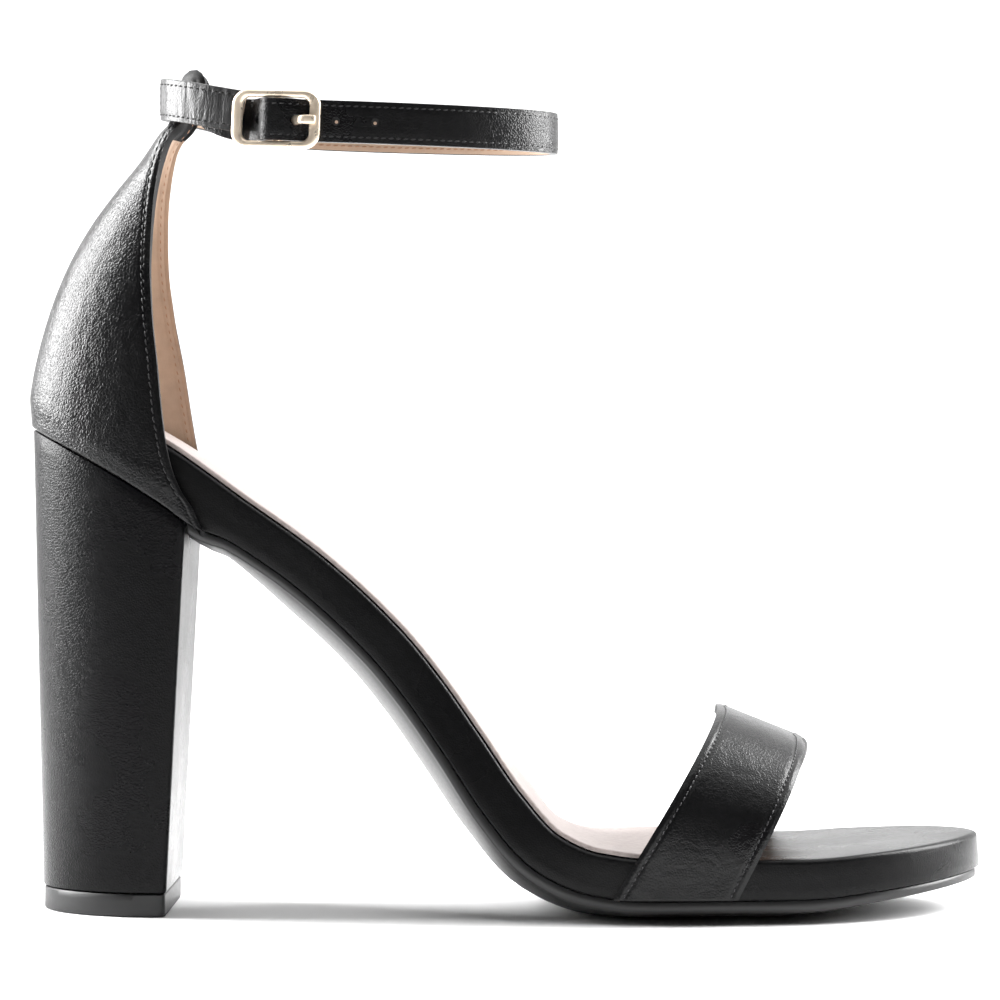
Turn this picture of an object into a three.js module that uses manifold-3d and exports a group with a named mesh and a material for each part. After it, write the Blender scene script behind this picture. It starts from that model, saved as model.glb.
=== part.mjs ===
// Right-foot open-toe sandal with a tall block heel, a closed heel counter, one wide toe strap
// and a buckled ankle strap. Millimetres, +X towards the toe, +Y towards the inner side of the
// foot, +Z up. The finished group stands on Z = 0, centred in plan on its own box.
import * as THREE from 'three';
import { mergeVertices } from 'three/addons/utils/BufferGeometryUtils.js';
import Module from 'manifold-3d';

const wasm = await Module();
wasm.setup();

// Driving sizes of the sole
const shoeLength = 222;
const ballWidth = 77;
const ballStack = 14.5;
const heelRise = 110.1;
const seatRoundLength = 40;
const clearance = 0.3;
const wrapRadius = 1.2;
const toeCentre = 4;
const toeRoundLateral = 48;
const toeRoundMedial = 36;
const outsoleInset = 1.1;
const outsoleToeSet = 1.4;
const breastOverlap = 3;
const sockThickness = 1;
const sockInset = 0.9;
const sockStart = 1;
const sockLength = 160;

// Driving sizes of the heel
const heelBackSet = 0.9;
const heelTopLength = 37.3;
const heelTopHalfWidth = 25.4;
const heelFootLength = 30.6;
const heelFootHalfWidth = 23.6;
const heelFootBack = 2.3;
const heelCornerRadius = 1.6;
const heelCapHeight = 5.1;
const heelCapInset = 0.3;

// Driving sizes of the upper
const leatherWall = 1.8;
const counterHeight = 80.3;
const counterFoot = 112.3;
const counterHalfWidth = 26.5;
const counterInnerLead = 3.2;
const toeStrapHeight = 42;
const toeStrapFoot = 5.6;
const toeStrapWall = 1.8;
const toeStrapSkew = 7.5;
const bendLean = 2.4;

// Driving sizes of the ankle strap and its buckle
const strapWidth = 9.6;
const strapWall = 1.8;
const strapLoopLength = 92.9;
const strapLoopWidth = 52;
const strapLoopBack = 30.5;
const strapFrontTop = 184.1;
const strapBackRise = 3.15;
const strapInnerRise = 2.5;
const strapRampRise = 5;
const strapRampLength = 30.5;
const strapRampSoftness = 4;
const strapEdgeRound = 0.35;
const strapEndGap = 0.6;
const holePlay = 0.2;
const buckleStation = 38.8;
const buckleLength = 20.4;
const buckleHeight = 13.4;
const buckleBar = 2.5;
const buckleRail = 1.8;
const frameClearRun = 0.3;
const buckleBarDepth = 1.8;
const buckleCorner = 4;
const centreBarRadius = 0.75;
const centreBarSet = 1.2;
const prongWidth = 2.1;
const prongThickness = 1.2;
const holeDiameter = 1.9;
const holeSpacing = 8.9;
const prongHoleOffset = 4.6;
const tailEnd = 15.5;

// Footbed rows from the heel to the toe tip. along: share of the shoe's length from its back,
// rise: share of the heel rise, innerLift: how much higher the inner edge lies, as a share of the
// heel rise, outer and inner: half widths as shares of the ball width.
const footbedRows = [
  { along: 0.0122, rise: 1.0, innerLift: 0, outer: 0.312, inner: 0.312 },
  { along: 0.1532, rise: 0.8438, innerLift: 0, outer: 0.312, inner: 0.312 },
  { along: 0.229, rise: 0.7357, innerLift: 0.005, outer: 0.312, inner: 0.307 },
  { along: 0.3105, rise: 0.6167, innerLift: 0.018, outer: 0.314, inner: 0.296 },
  { along: 0.3923, rise: 0.4641, innerLift: 0.025, outer: 0.332, inner: 0.294 },
  { along: 0.4333, rise: 0.3642, innerLift: 0.024, outer: 0.352, inner: 0.304 },
  { along: 0.4743, rise: 0.248, innerLift: 0.017, outer: 0.39, inner: 0.328 },
  { along: 0.5149, rise: 0.1308, innerLift: 0.002, outer: 0.432, inner: 0.364 },
  { along: 0.5554, rise: 0.0445, innerLift: -0.016, outer: 0.472, inner: 0.402 },
  { along: 0.5955, rise: 0.0109, innerLift: -0.01, outer: 0.496, inner: 0.436 },
  { along: 0.6441, rise: 0, innerLift: 0, outer: 0.512, inner: 0.468 },
  { along: 0.7973, rise: 0, innerLift: 0, outer: 0.5, inner: 0.494 },
  { along: 0.8829, rise: 0.01, innerLift: 0, outer: 0.494, inner: 0.49 },
  { along: 0.999, rise: 0.028, innerLift: 0, outer: 0.494, inner: 0.49 },
];

// Sole thickness rows. board: platform, edge: outsole edge, dome: what the outsole gains at its
// middle, all as shares of the ball stack.
const stackRows = [
  { along: 0.0122, board: 0.821, edge: 0.15, dome: 0.25 },
  { along: 0.165, board: 0.821, edge: 0.15, dome: 0.08 },
  { along: 0.235, board: 0.65, edge: 0.152, dome: 0.14 },
  { along: 0.33, board: 0.62, edge: 0.152, dome: 0.31 },
  { along: 0.45, board: 0.62, edge: 0.152, dome: 0.33 },
  { along: 0.53, board: 0.64, edge: 0.175, dome: 0.27 },
  { along: 0.6, board: 0.65, edge: 0.2, dome: 0.23 },
  { along: 0.78, board: 0.63, edge: 0.2, dome: 0.2 },
  { along: 0.9, board: 0.59, edge: 0.16, dome: 0.1 },
  { along: 0.999, board: 0.56, edge: 0.15, dome: 0.06 },
];

// Counter rows from the heel seam to the round top of the neck. backAlong and frontAlong: shares of
// the shoe's length, backRise and frontRise: shares of the counter height, depth: length of the
// round heel curve that the row is a part of, as a share of the seat curve, half: share of the
// counter's half width, lead: how far the inner front edge lies ahead of the outer one, as a share
// of the counter's inner lead.
const counterRows = [
  { backAlong: 0.0027, backRise: 0, frontAlong: 0.1932, frontRise: -0.283, depth: 1.06, half: 1, lead: 0 },
  { backAlong: 0, backRise: 0.076, frontAlong: 0.17, frontRise: -0.198, depth: 1.06, half: 1.015, lead: 0.5 },
  { backAlong: 0.0027, backRise: 0.135, frontAlong: 0.156, frontRise: -0.102, depth: 1.05, half: 1.01, lead: 1 },
  { backAlong: 0.01, backRise: 0.227, frontAlong: 0.148, frontRise: 0.027, depth: 1, half: 0.98, lead: 0.95 },
  { backAlong: 0.022, backRise: 0.339, frontAlong: 0.142, frontRise: 0.181, depth: 0.9, half: 0.92, lead: 0.8 },
  { backAlong: 0.039, backRise: 0.457, frontAlong: 0.1355, frontRise: 0.333, depth: 0.78, half: 0.82, lead: 0.6 },
  { backAlong: 0.062, backRise: 0.572, frontAlong: 0.1324, frontRise: 0.482, depth: 0.63, half: 0.7, lead: 0.45 },
  { backAlong: 0.0905, backRise: 0.681, frontAlong: 0.1335, frontRise: 0.625, depth: 0.43, half: 0.56, lead: 0.4 },
  { backAlong: 0.116, backRise: 0.768, frontAlong: 0.139, frontRise: 0.755, depth: 0.22, half: 0.408, lead: 0.4 },
  { backAlong: 0.1356, backRise: 0.847, frontAlong: 0.149, frontRise: 0.843, depth: 0.12, half: 0.339, lead: 0.5 },
  { backAlong: 0.1473, backRise: 0.887, frontAlong: 0.1626, frontRise: 0.881, depth: 0.136, half: 0.302, lead: 0.6 },
  { backAlong: 0.153, backRise: 0.943, frontAlong: 0.178, frontRise: 0.943, depth: 0.19, half: 0.289, lead: 0.5 },
  { backAlong: 0.1587, backRise: 0.99, frontAlong: 0.19, frontRise: 0.991, depth: 0.2, half: 0.27, lead: 0.3 },
  { backAlong: 0.1628, backRise: 1.02, frontAlong: 0.1864, frontRise: 1.02, depth: 0.16, half: 0.22, lead: 0.2 },
  { backAlong: 0.1715, backRise: 1.034, frontAlong: 0.1778, frontRise: 1.034, depth: 0.07, half: 0.17, lead: 0.1 },
];

// Toe strap edges, back then front. footAlong and crownAlong: shares of the shoe's length where the
// edge leaves the sole's outer side and where it crosses the crown, crown: share of the toe strap's
// height.
const toeStrapEdges = [
  { footAlong: 0.608, crownAlong: 0.7225, crown: 1 },
  { footAlong: 0.7345, crownAlong: 0.8135, crown: 0.805 },
];

const back = -shoeLength / 2;

function alongToX(share) {
  return back + share * shoeLength;
}

function mix(a, b, t) {
  return a + (b - a) * t;
}

function smoothStep(from, to, value) {
  const t = Math.min(Math.max((value - from) / (to - from), 0), 1);
  return t * t * (3 - 2 * t);
}

// A curve through one column of a table that never overshoots its rows.
function column(rows, key, place = (row) => row.along, scale = 1) {
  const xs = rows.map(place);
  const ys = rows.map((row) => row[key] * scale);
  const last = xs.length - 1;
  const step = [];
  for (let i = 0; i < last; i += 1) {
    step.push((ys[i + 1] - ys[i]) / (xs[i + 1] - xs[i]));
  }
  const slope = ys.map((_, i) => {
    if (i === 0) return step[0];
    if (i === last) return step[last - 1];
    if (step[i - 1] * step[i] <= 0) return 0;
    return 2 * step[i - 1] * step[i] / (step[i - 1] + step[i]);
  });
  return (x) => {
    let i = 0;
    while (i < last - 1 && x > xs[i + 1]) i += 1;
    const span = xs[i + 1] - xs[i];
    const t = (x - xs[i]) / span;
    if (t < 0) return ys[i] + slope[i] * (x - xs[i]);
    if (t > 1) return ys[last] + slope[last] * (x - xs[last]);
    const a = ys[i];
    const b = ys[i + 1];
    return (1 + 2 * t) * (1 - t) ** 2 * a + t * (1 - t) ** 2 * span * slope[i]
      + t * t * (3 - 2 * t) * b + t * t * (t - 1) * span * slope[i + 1];
  };
}

const rowX = (row) => alongToX(row.along);
const profile = column(footbedRows, 'rise', rowX, heelRise);
const innerLift = column(footbedRows, 'innerLift', rowX, heelRise);
const outerHalf = column(footbedRows, 'outer', rowX, ballWidth);
const innerHalf = column(footbedRows, 'inner', rowX, ballWidth);
const board = column(stackRows, 'board', rowX, ballStack);
const edge = column(stackRows, 'edge', rowX, ballStack);
const dome = column(stackRows, 'dome', rowX, ballStack);

const seatBack = alongToX(footbedRows[0].along);
const toeTip = alongToX(footbedRows[footbedRows.length - 1].along);

// How full the outline is at a distance from a rounded end.
function roundedEnd(distance, length, power) {
  const u = Math.min(Math.max(distance / length, 0), 1);
  return (1 - (1 - u) ** 2) ** power;
}

function outerEdge(x) {
  const seat = roundedEnd(x - seatBack, seatRoundLength, 0.6);
  const toe = roundedEnd(toeTip - x, toeRoundLateral, 0.66);
  const fade = smoothStep(toeTip - 2 * toeRoundLateral, toeTip - toeRoundLateral, x);
  const middle = toeCentre * fade;
  return middle - (outerHalf(x) * seat + middle) * toe;
}

function innerEdge(x) {
  const seat = roundedEnd(x - seatBack, seatRoundLength, 0.6);
  const toe = roundedEnd(toeTip - x, toeRoundMedial, 0.52);
  const fade = smoothStep(toeTip - 2 * toeRoundLateral, toeTip - toeRoundLateral, x);
  const middle = toeCentre * fade;
  return middle + (innerHalf(x) * seat - middle) * toe;
}

// A point at height h over the footbed, square to it, but straight up and down round the seat.
function overFootbed(x, y, h) {
  const d = 0.05;
  const slope = (profile(x + d) - profile(x - d)) / (2 * d);
  const nz = 1 / Math.hypot(1, slope);
  const nx = -slope * nz;
  const lean = smoothStep(seatBack + 0.9 * seatRoundLength, seatBack + 1.5 * seatRoundLength, x);
  const across = (y + outerHalf(x)) / (outerHalf(x) + innerHalf(x));
  const z = ballStack + profile(x) + innerLift(x) * Math.min(Math.max(across, 0), 1);
  return new THREE.Vector3(x + h * nx * lean, y, z + h * (nz + (1 - lean) * nx * nx / nz));
}

// Height of the surface that lies a board thickness and an extra depth under the footbed.
function underBoard(x, y, extra) {
  let low = x - 1;
  let high = x + 20;
  for (let i = 0; i < 40; i += 1) {
    const middle = (low + high) / 2;
    if (overFootbed(middle, y, -board(middle) - extra).x < x) low = middle;
    else high = middle;
  }
  return overFootbed(low, y, -board(low) - extra).z;
}

// Closed meshes are gathered as points and triangles, and turned inside out if need be.
function geometryFrom(points, triangles) {
  let volume = 0;
  for (const [a, b, c] of triangles) {
    volume += points[a].dot(new THREE.Vector3().crossVectors(points[b], points[c]));
  }
  const ordered = volume < 0 ? triangles.map(([a, b, c]) => [a, c, b]) : triangles;
  const geometry = new THREE.BufferGeometry();
  geometry.setAttribute('position', new THREE.Float32BufferAttribute(points.flatMap((p) => p.toArray()), 3));
  geometry.setIndex(ordered.flat());
  geometry.computeVertexNormals();
  return geometry;
}

function pushQuad(triangles, a, b, c, d) {
  triangles.push([a, b, c], [a, c, d]);
}

// Moves a closed plan outline inwards by a distance.
function insetLoop(loop, distance) {
  const count = loop.length;
  return loop.map((point, i) => {
    const before = loop[(i + count - 1) % count];
    const after = loop[(i + 1) % count];
    const n1 = new THREE.Vector2(-(point.y - before.y), point.x - before.x).normalize();
    const n2 = new THREE.Vector2(-(after.y - point.y), after.x - point.x).normalize();
    const reach = distance / Math.max(1 + n1.dot(n2), 0.8);
    return new THREE.Vector2(point.x + (n1.x + n2.x) * reach, point.y + (n1.y + n2.y) * reach);
  });
}

// Stations along the footbed, close together at both ends and where the sole bends to the ball.
const bedStations = [];
const bendFrom = alongToX(0.46);
const bendTo = alongToX(0.62);
for (let x = seatBack; x < toeTip;) {
  bedStations.push(x);
  const toEnd = Math.min(x - seatBack, toeTip - x);
  const open = x > bendFrom && x < bendTo ? shoeLength / 85 : shoeLength / 42;
  x += Math.min(open, 0.5 + 0.3 * toEnd);
}

// A slab that follows the footbed. Its layers go from top to bottom, each with an inset and a
// height, and the first and last are closed by a grid that may bulge by a crown.
function footbedSlab({ from, to, layers, across, floor = -Infinity }) {
  const stations = [from, ...bedStations.filter((x) => x > from + 0.5 && x < to - 0.5), to];
  const along = stations.length - 1;
  const loop = [];
  for (const x of stations) loop.push(new THREE.Vector2(x, outerEdge(x)));
  for (let j = 1; j < across; j += 1) {
    loop.push(new THREE.Vector2(to, mix(outerEdge(to), innerEdge(to), j / across)));
  }
  for (const x of [...stations].reverse()) loop.push(new THREE.Vector2(x, innerEdge(x)));
  for (let j = across - 1; j > 0; j -= 1) {
    loop.push(new THREE.Vector2(from, mix(outerEdge(from), innerEdge(from), j / across)));
  }
  const points = [];
  const triangles = [];
  const put = (x, y, h) => {
    const point = overFootbed(x, y, h);
    point.z = Math.max(point.z, floor);
    points.push(point);
    return points.length - 1;
  };
  const rings = layers.map((layer) => {
    const inset = insetLoop(loop, layer.inset);
    return { inset, ids: inset.map((p) => put(p.x, p.y, layer.height(p.x))) };
  });
  for (let k = 0; k < rings.length - 1; k += 1) {
    const upper = rings[k].ids;
    const lower = rings[k + 1].ids;
    upper.forEach((id, i) => {
      const next = (i + 1) % upper.length;
      pushQuad(triangles, id, upper[next], lower[next], lower[i]);
    });
  }
  const capEnds = [[rings[0], layers[0], false], [rings[rings.length - 1], layers[layers.length - 1], true]];
  for (const [ring, layer, flip] of capEnds) {
    const grid = capGrid(ring, layer, along, across, put);
    for (let i = 0; i < along; i += 1) {
      for (let j = 0; j < across; j += 1) {
        const quad = [grid[i][j], grid[i][j + 1], grid[i + 1][j + 1], grid[i + 1][j]];
        if (flip) quad.reverse();
        pushQuad(triangles, ...quad);
      }
    }
  }
  return geometryFrom(points, triangles);
}

function capGrid(ring, layer, along, across, put) {
  const innerStart = along + across;
  const grid = [];
  for (let i = 0; i <= along; i += 1) {
    const row = [];
    const outerId = i;
    const innerId = innerStart + (along - i);
    for (let j = 0; j <= across; j += 1) {
      if (j === 0) row.push(ring.ids[outerId]);
      else if (j === across) row.push(ring.ids[innerId]);
      else if (i === along) row.push(ring.ids[along + j]);
      else if (i === 0) row.push(ring.ids[ring.ids.length - j]);
      else {
        const a = ring.inset[outerId];
        const b = ring.inset[innerId];
        const t = (1 - Math.cos(Math.PI * j / across)) / 2;
        const x = mix(a.x, b.x, t);
        const bulge = layer.crown ? layer.crown(x) * (1 - Math.abs(2 * t - 1) ** 2.4) : 0;
        row.push(put(x, mix(a.y, b.y, t), layer.height(x) + bulge));
      }
    }
    grid.push(row);
  }
  return grid;
}

// A sheet with a wall: the outer face is a function of two shares, the inner face lies a wall
// thickness behind it, and the four borders are closed. Settle may move a point to a seat.
function walledSheet(countU, countV, outer, wall, settle = (point) => point) {
  const points = [];
  const triangles = [];
  const d = 1e-3;
  const normalAt = (u, v) => {
    const du = outer(Math.min(u + d, 1), v).sub(outer(Math.max(u - d, 0), v));
    const dv = outer(u, Math.min(v + d, 1)).sub(outer(u, Math.max(v - d, 0)));
    return dv.cross(du).normalize();
  };
  const front = [];
  const rear = [];
  for (let i = 0; i <= countU; i += 1) {
    const frontRow = [];
    const rearRow = [];
    for (let j = 0; j <= countV; j += 1) {
      const u = i / countU;
      const v = j / countV;
      const point = outer(u, v);
      points.push(point);
      frontRow.push(points.length - 1);
      points.push(settle(point.clone().addScaledVector(normalAt(u, v), -wall), v));
      rearRow.push(points.length - 1);
    }
    front.push(frontRow);
    rear.push(rearRow);
  }
  for (let i = 0; i < countU; i += 1) {
    for (let j = 0; j < countV; j += 1) {
      pushQuad(triangles, front[i][j], front[i + 1][j], front[i + 1][j + 1], front[i][j + 1]);
      pushQuad(triangles, rear[i][j], rear[i][j + 1], rear[i + 1][j + 1], rear[i + 1][j]);
    }
  }
  for (let i = 0; i < countU; i += 1) {
    pushQuad(triangles, front[i][0], rear[i][0], rear[i + 1][0], front[i + 1][0]);
    pushQuad(triangles, front[i + 1][countV], rear[i + 1][countV], rear[i][countV], front[i][countV]);
  }
  for (let j = 0; j < countV; j += 1) {
    pushQuad(triangles, front[0][j + 1], rear[0][j + 1], rear[0][j], front[0][j]);
    pushQuad(triangles, front[countU][j], rear[countU][j], rear[countU][j + 1], front[countU][j + 1]);
  }
  return geometryFrom(points, triangles);
}

// A solid through rings of equally many points, closed at both ends by fans or round on itself.
function ringSolid(rings, closed = false) {
  const points = rings.flat();
  const size = rings[0].length;
  const triangles = [];
  const last = closed ? rings.length : rings.length - 1;
  for (let k = 0; k < last; k += 1) {
    const a = k * size;
    const b = ((k + 1) % rings.length) * size;
    for (let i = 0; i < size; i += 1) {
      const next = (i + 1) % size;
      pushQuad(triangles, a + i, a + next, b + next, b + i);
    }
  }
  if (!closed) {
    for (const [ring, flip] of [[0, true], [rings.length - 1, false]]) {
      const centre = new THREE.Vector3();
      rings[ring].forEach((p) => centre.addScaledVector(p, 1 / size));
      points.push(centre);
      const hub = points.length - 1;
      for (let i = 0; i < size; i += 1) {
        const rim = [ring * size + i, ring * size + (i + 1) % size];
        if (flip) rim.reverse();
        triangles.push([hub, rim[0], rim[1]]);
      }
    }
  }
  return geometryFrom(points, triangles);
}

// Boolean work on closed geometries.
function toSolid(geometry) {
  const bare = geometry.clone();
  bare.deleteAttribute('normal');
  bare.deleteAttribute('uv');
  const merged = mergeVertices(bare, 1e-4);
  const vertProperties = new Float32Array(merged.attributes.position.array);
  const triVerts = new Uint32Array(merged.index.array);
  return new wasm.Manifold(new wasm.Mesh({ numProp: 3, vertProperties, triVerts }));
}

function fromSolid(solid) {
  const mesh = solid.getMesh();
  const geometry = new THREE.BufferGeometry();
  geometry.setAttribute('position', new THREE.BufferAttribute(new Float32Array(mesh.vertProperties), 3));
  geometry.setIndex(new THREE.BufferAttribute(new Uint32Array(mesh.triVerts), 1));
  geometry.computeVertexNormals();
  return geometry;
}

function cutAway(geometry, tools) {
  let solid = toSolid(geometry);
  for (const tool of tools) solid = solid.subtract(toSolid(tool));
  return fromSolid(solid);
}

// Heel: a plan outline that is round at the back and flat at the breast, lofted from foot to seat.
const heelTopBack = back + heelBackSet;
const heelFootBackX = heelTopBack + heelFootBack;

function heelOutline(share, grow, count = 26) {
  const topToFoot = 1 - share;
  const backX = mix(heelTopBack, heelFootBackX, topToFoot) - grow;
  const length = mix(heelTopLength, heelFootLength, topToFoot) + 2 * grow;
  const half = mix(heelTopHalfWidth, heelFootHalfWidth, topToFoot) + grow;
  const side = [];
  for (let i = 0; i <= count / 2; i += 1) {
    const angle = Math.PI / 2 * i / (count / 2);
    const x = backX + (length - heelCornerRadius) * (1 - Math.cos(angle));
    side.push([x, half * Math.sin(angle) ** 1.2]);
  }
  for (const turn of [Math.PI / 4, Math.PI / 2]) {
    const x = backX + length - heelCornerRadius * (1 - Math.sin(turn));
    side.push([x, half - heelCornerRadius * (1 - Math.cos(turn))]);
  }
  const outline = side.slice(1).map(([x, y]) => new THREE.Vector2(x, -y)).reverse();
  outline.push(new THREE.Vector2(backX, 0));
  side.slice(1).forEach(([x, y]) => outline.push(new THREE.Vector2(x, y)));
  return outline;
}

function heelBlock(grow = 0) {
  const foot = heelCapHeight + clearance - grow;
  const levels = [0, 0.25, 0.5, 0.75, 1];
  const rings = levels.map((level) => heelOutline(level, grow).map((p) => {
    const seat = underBoard(p.x, p.y, clearance) + 3 * grow;
    return new THREE.Vector3(p.x, p.y, mix(foot, seat, level));
  }));
  return ringSolid(rings);
}

function heelCap() {
  const outline = heelOutline(0, -heelCapInset);
  return ringSolid([0, heelCapHeight].map((z) => outline.map((p) => new THREE.Vector3(p.x, p.y, z))));
}

// Sole pieces
function platform() {
  const nearEnd = 0.35;
  return footbedSlab({
    from: seatBack + nearEnd,
    to: toeTip - nearEnd,
    across: 4,
    layers: [
      { inset: wrapRadius, height: () => 0 },
      { inset: 0.3 * wrapRadius, height: () => -0.3 * wrapRadius },
      { inset: 0, height: () => -wrapRadius },
      { inset: 0, height: (x) => -board(x) },
    ],
  });
}

function outsole() {
  const breastX = heelTopBack + heelTopLength;
  const top = (x) => -board(x) - clearance;
  const rough = footbedSlab({
    from: breastX - breastOverlap,
    to: toeTip - outsoleToeSet,
    across: 6,
    floor: 0,
    layers: [
      { inset: outsoleInset, height: top },
      { inset: outsoleInset, height: (x) => top(x) - edge(x) },
      { inset: outsoleInset + 1, height: (x) => top(x) - edge(x) - 0.1 * dome(x), crown: (x) => -0.9 * dome(x) },
    ],
  });
  return cutAway(rough, [heelBlock(clearance)]);
}

function insole() {
  return footbedSlab({
    from: seatBack + sockStart,
    to: seatBack + sockLength,
    across: 4,
    layers: [
      { inset: sockInset, height: () => clearance + sockThickness },
      { inset: sockInset, height: () => clearance },
    ],
  });
}

// Ankle strap loop: an oval in plan that rises gently to the back and to the inner side, and from
// the buckle on by a steeper ramp. A place on it is given by the length run from the centre back
// along the outer side, a rise across the strap, a distance outwards and the share of the ramp.
const loopHalfLength = strapLoopLength / 2 - strapWall / 2;
const loopHalfWidth = strapLoopWidth / 2 - strapWall / 2;
const loopCentre = back + strapLoopBack + strapLoopLength / 2;

function loopPlan(angle) {
  return new THREE.Vector2(
    loopCentre - loopHalfLength * Math.cos(angle),
    -loopHalfWidth * Math.sin(angle),
  );
}

function strapTop(x, y, ramp) {
  const backShare = (loopCentre + strapLoopLength / 2 - x) / strapLoopLength;
  const innerShare = (y + strapLoopWidth / 2) / strapLoopWidth;
  const past = back + strapLoopBack + strapRampLength - x;
  const climb = (past + Math.hypot(past, strapRampSoftness)) / 2 / strapRampLength;
  return strapFrontTop + strapBackRise * backShare + strapInnerRise * innerShare + strapRampRise * climb * ramp;
}

const loopTable = [];
const loopSteps = 720;
let loopLength = 0;
for (let i = 0; i <= loopSteps; i += 1) {
  const plan = loopPlan(2 * Math.PI * i / loopSteps);
  if (i > 0) loopLength += plan.distanceTo(loopTable[i - 1].plan);
  loopTable.push({ plan, run: loopLength });
}

function loopAngle(run) {
  const wrapped = ((run % loopLength) + loopLength) % loopLength;
  let i = 0;
  while (i < loopSteps - 1 && loopTable[i + 1].run < wrapped) i += 1;
  const t = (wrapped - loopTable[i].run) / (loopTable[i + 1].run - loopTable[i].run);
  return 2 * Math.PI * (i + t) / loopSteps;
}

// Runs between two places on the loop, closer together where the oval turns faster.
function evenTurnRuns(from, to, count) {
  const fromAngle = loopAngle(from);
  const toAngle = loopAngle(to);
  const runs = [];
  for (let i = 0; i <= count; i += 1) {
    const share = mix(fromAngle, toAngle, i / count) / (2 * Math.PI) * loopSteps;
    const below = Math.min(Math.floor(share), loopSteps - 1);
    runs.push(mix(loopTable[below].run, loopTable[below + 1].run, share - below));
  }
  return runs;
}

function loopCentrePoint(run, ramp) {
  const plan = loopPlan(loopAngle(run));
  return new THREE.Vector3(plan.x, plan.y, strapTop(plan.x, plan.y, ramp) - strapWidth / 2);
}

function onLoop(run, rise, off, ramp = 0) {
  const d = 0.2;
  const tangent = loopCentrePoint(run + d, ramp).sub(loopCentrePoint(run - d, ramp)).normalize();
  const up = new THREE.Vector3(0, 0, 1).addScaledVector(tangent, -tangent.z).normalize();
  const outward = tangent.clone().cross(up);
  return loopCentrePoint(run, ramp).addScaledVector(up, rise).addScaledVector(outward, off);
}

// A band along the loop. Each station has a run, an offset outwards, a half width and a share of
// the ramp.
function loopBand(stations, wall) {
  const rings = stations.map((station, i) => {
    const before = stations[Math.max(i - 1, 0)];
    const after = stations[Math.min(i + 1, stations.length - 1)];
    const angle = Math.atan2(after.off - before.off, after.run - before.run);
    const turn = after.run < before.run ? angle + Math.PI : angle;
    const half = station.half;
    const soft = Math.min(strapEdgeRound, half * 0.5);
    const corners = [
      [-half, -wall / 2 + soft], [-half + soft, -wall / 2], [half - soft, -wall / 2], [half, -wall / 2 + soft],
      [half, wall / 2 - soft], [half - soft, wall / 2], [-half + soft, wall / 2], [-half, wall / 2 - soft],
    ];
    return corners.map(([rise, off]) => onLoop(
      station.run - off * Math.sin(turn),
      rise,
      station.off + off * Math.cos(turn),
      station.ramp,
    ));
  });
  return ringSolid(rings);
}

// The layer behind a strap, clear of it.
const innerLayer = -(strapWall + clearance);
const frameOff = strapWall / 2 + clearance + buckleBarDepth / 2;
const centreBarOff = frameOff - centreBarSet;
const overBarOff = centreBarOff + centreBarRadius + clearance + strapWall / 2;
const leftBarRun = buckleStation - buckleLength / 2 + buckleBar / 2;
const rightBarRun = buckleStation + buckleLength / 2 - buckleBar / 2;

function ankleStrapOff(run) {
  if (run > buckleStation) {
    return overBarOff * (1 - smoothStep(buckleStation + 1, rightBarRun - buckleBar / 2 - frameClearRun, run));
  }
  const dive = smoothStep(leftBarRun + buckleBar / 2 + frameClearRun, buckleStation - 1, run);
  return mix(innerLayer, overBarOff, dive);
}

function ankleStrap() {
  const stations = [];
  const tip = tailEnd;
  const start = loopLength - strapEndGap;
  const half = strapWidth / 2;
  const tipSteps = 6;
  for (let i = 0; i <= tipSteps; i += 1) {
    const angle = Math.PI / 2 * (0.12 + 0.88 * i / tipSteps);
    stations.push({ run: tip + half * (1 - Math.cos(angle)), half: half * Math.sin(angle) });
  }
  const tipRun = stations[tipSteps].run;
  const buckleEnd = rightBarRun + 3;
  const fine = 22;
  for (let i = 1; i <= fine; i += 1) {
    stations.push({ run: mix(tipRun, buckleEnd, i / fine), half });
  }
  for (const run of evenTurnRuns(buckleEnd, start, 42).slice(1)) stations.push({ run, half });
  for (const station of stations) {
    station.off = ankleStrapOff(station.run);
    station.ramp = station.run > loopLength / 2 ? 1 : 1 - smoothStep(tip, leftBarRun, station.run);
  }
  const band = loopBand(stations, strapWall);
  const prongRun = buckleStation + prongHoleOffset;
  const holes = [-1, 1, 2].map((step) => strapHole(prongRun + step * holeSpacing, holeDiameter / 2));
  holes.push(strapHole(prongRun, prongWidth / 2 + holePlay));
  holes.push(prong(clearance));
  return cutAway(band, holes);
}

function strapHole(run, radius) {
  const rings = [-3, 5].map((off) => {
    const ring = [];
    for (let i = 0; i < 12; i += 1) {
      const angle = 2 * Math.PI * i / 12;
      ring.push(onLoop(run + radius * Math.cos(angle), radius * Math.sin(angle), off));
    }
    return ring;
  });
  return ringSolid(rings);
}

function buckleStrap() {
  const runs = evenTurnRuns(strapEndGap, leftBarRun + 0.3, 16);
  const stations = runs.map((run) => ({ run, off: 0, half: strapWidth / 2, ramp: 1 }));
  return loopBand(stations, strapWall);
}

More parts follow.
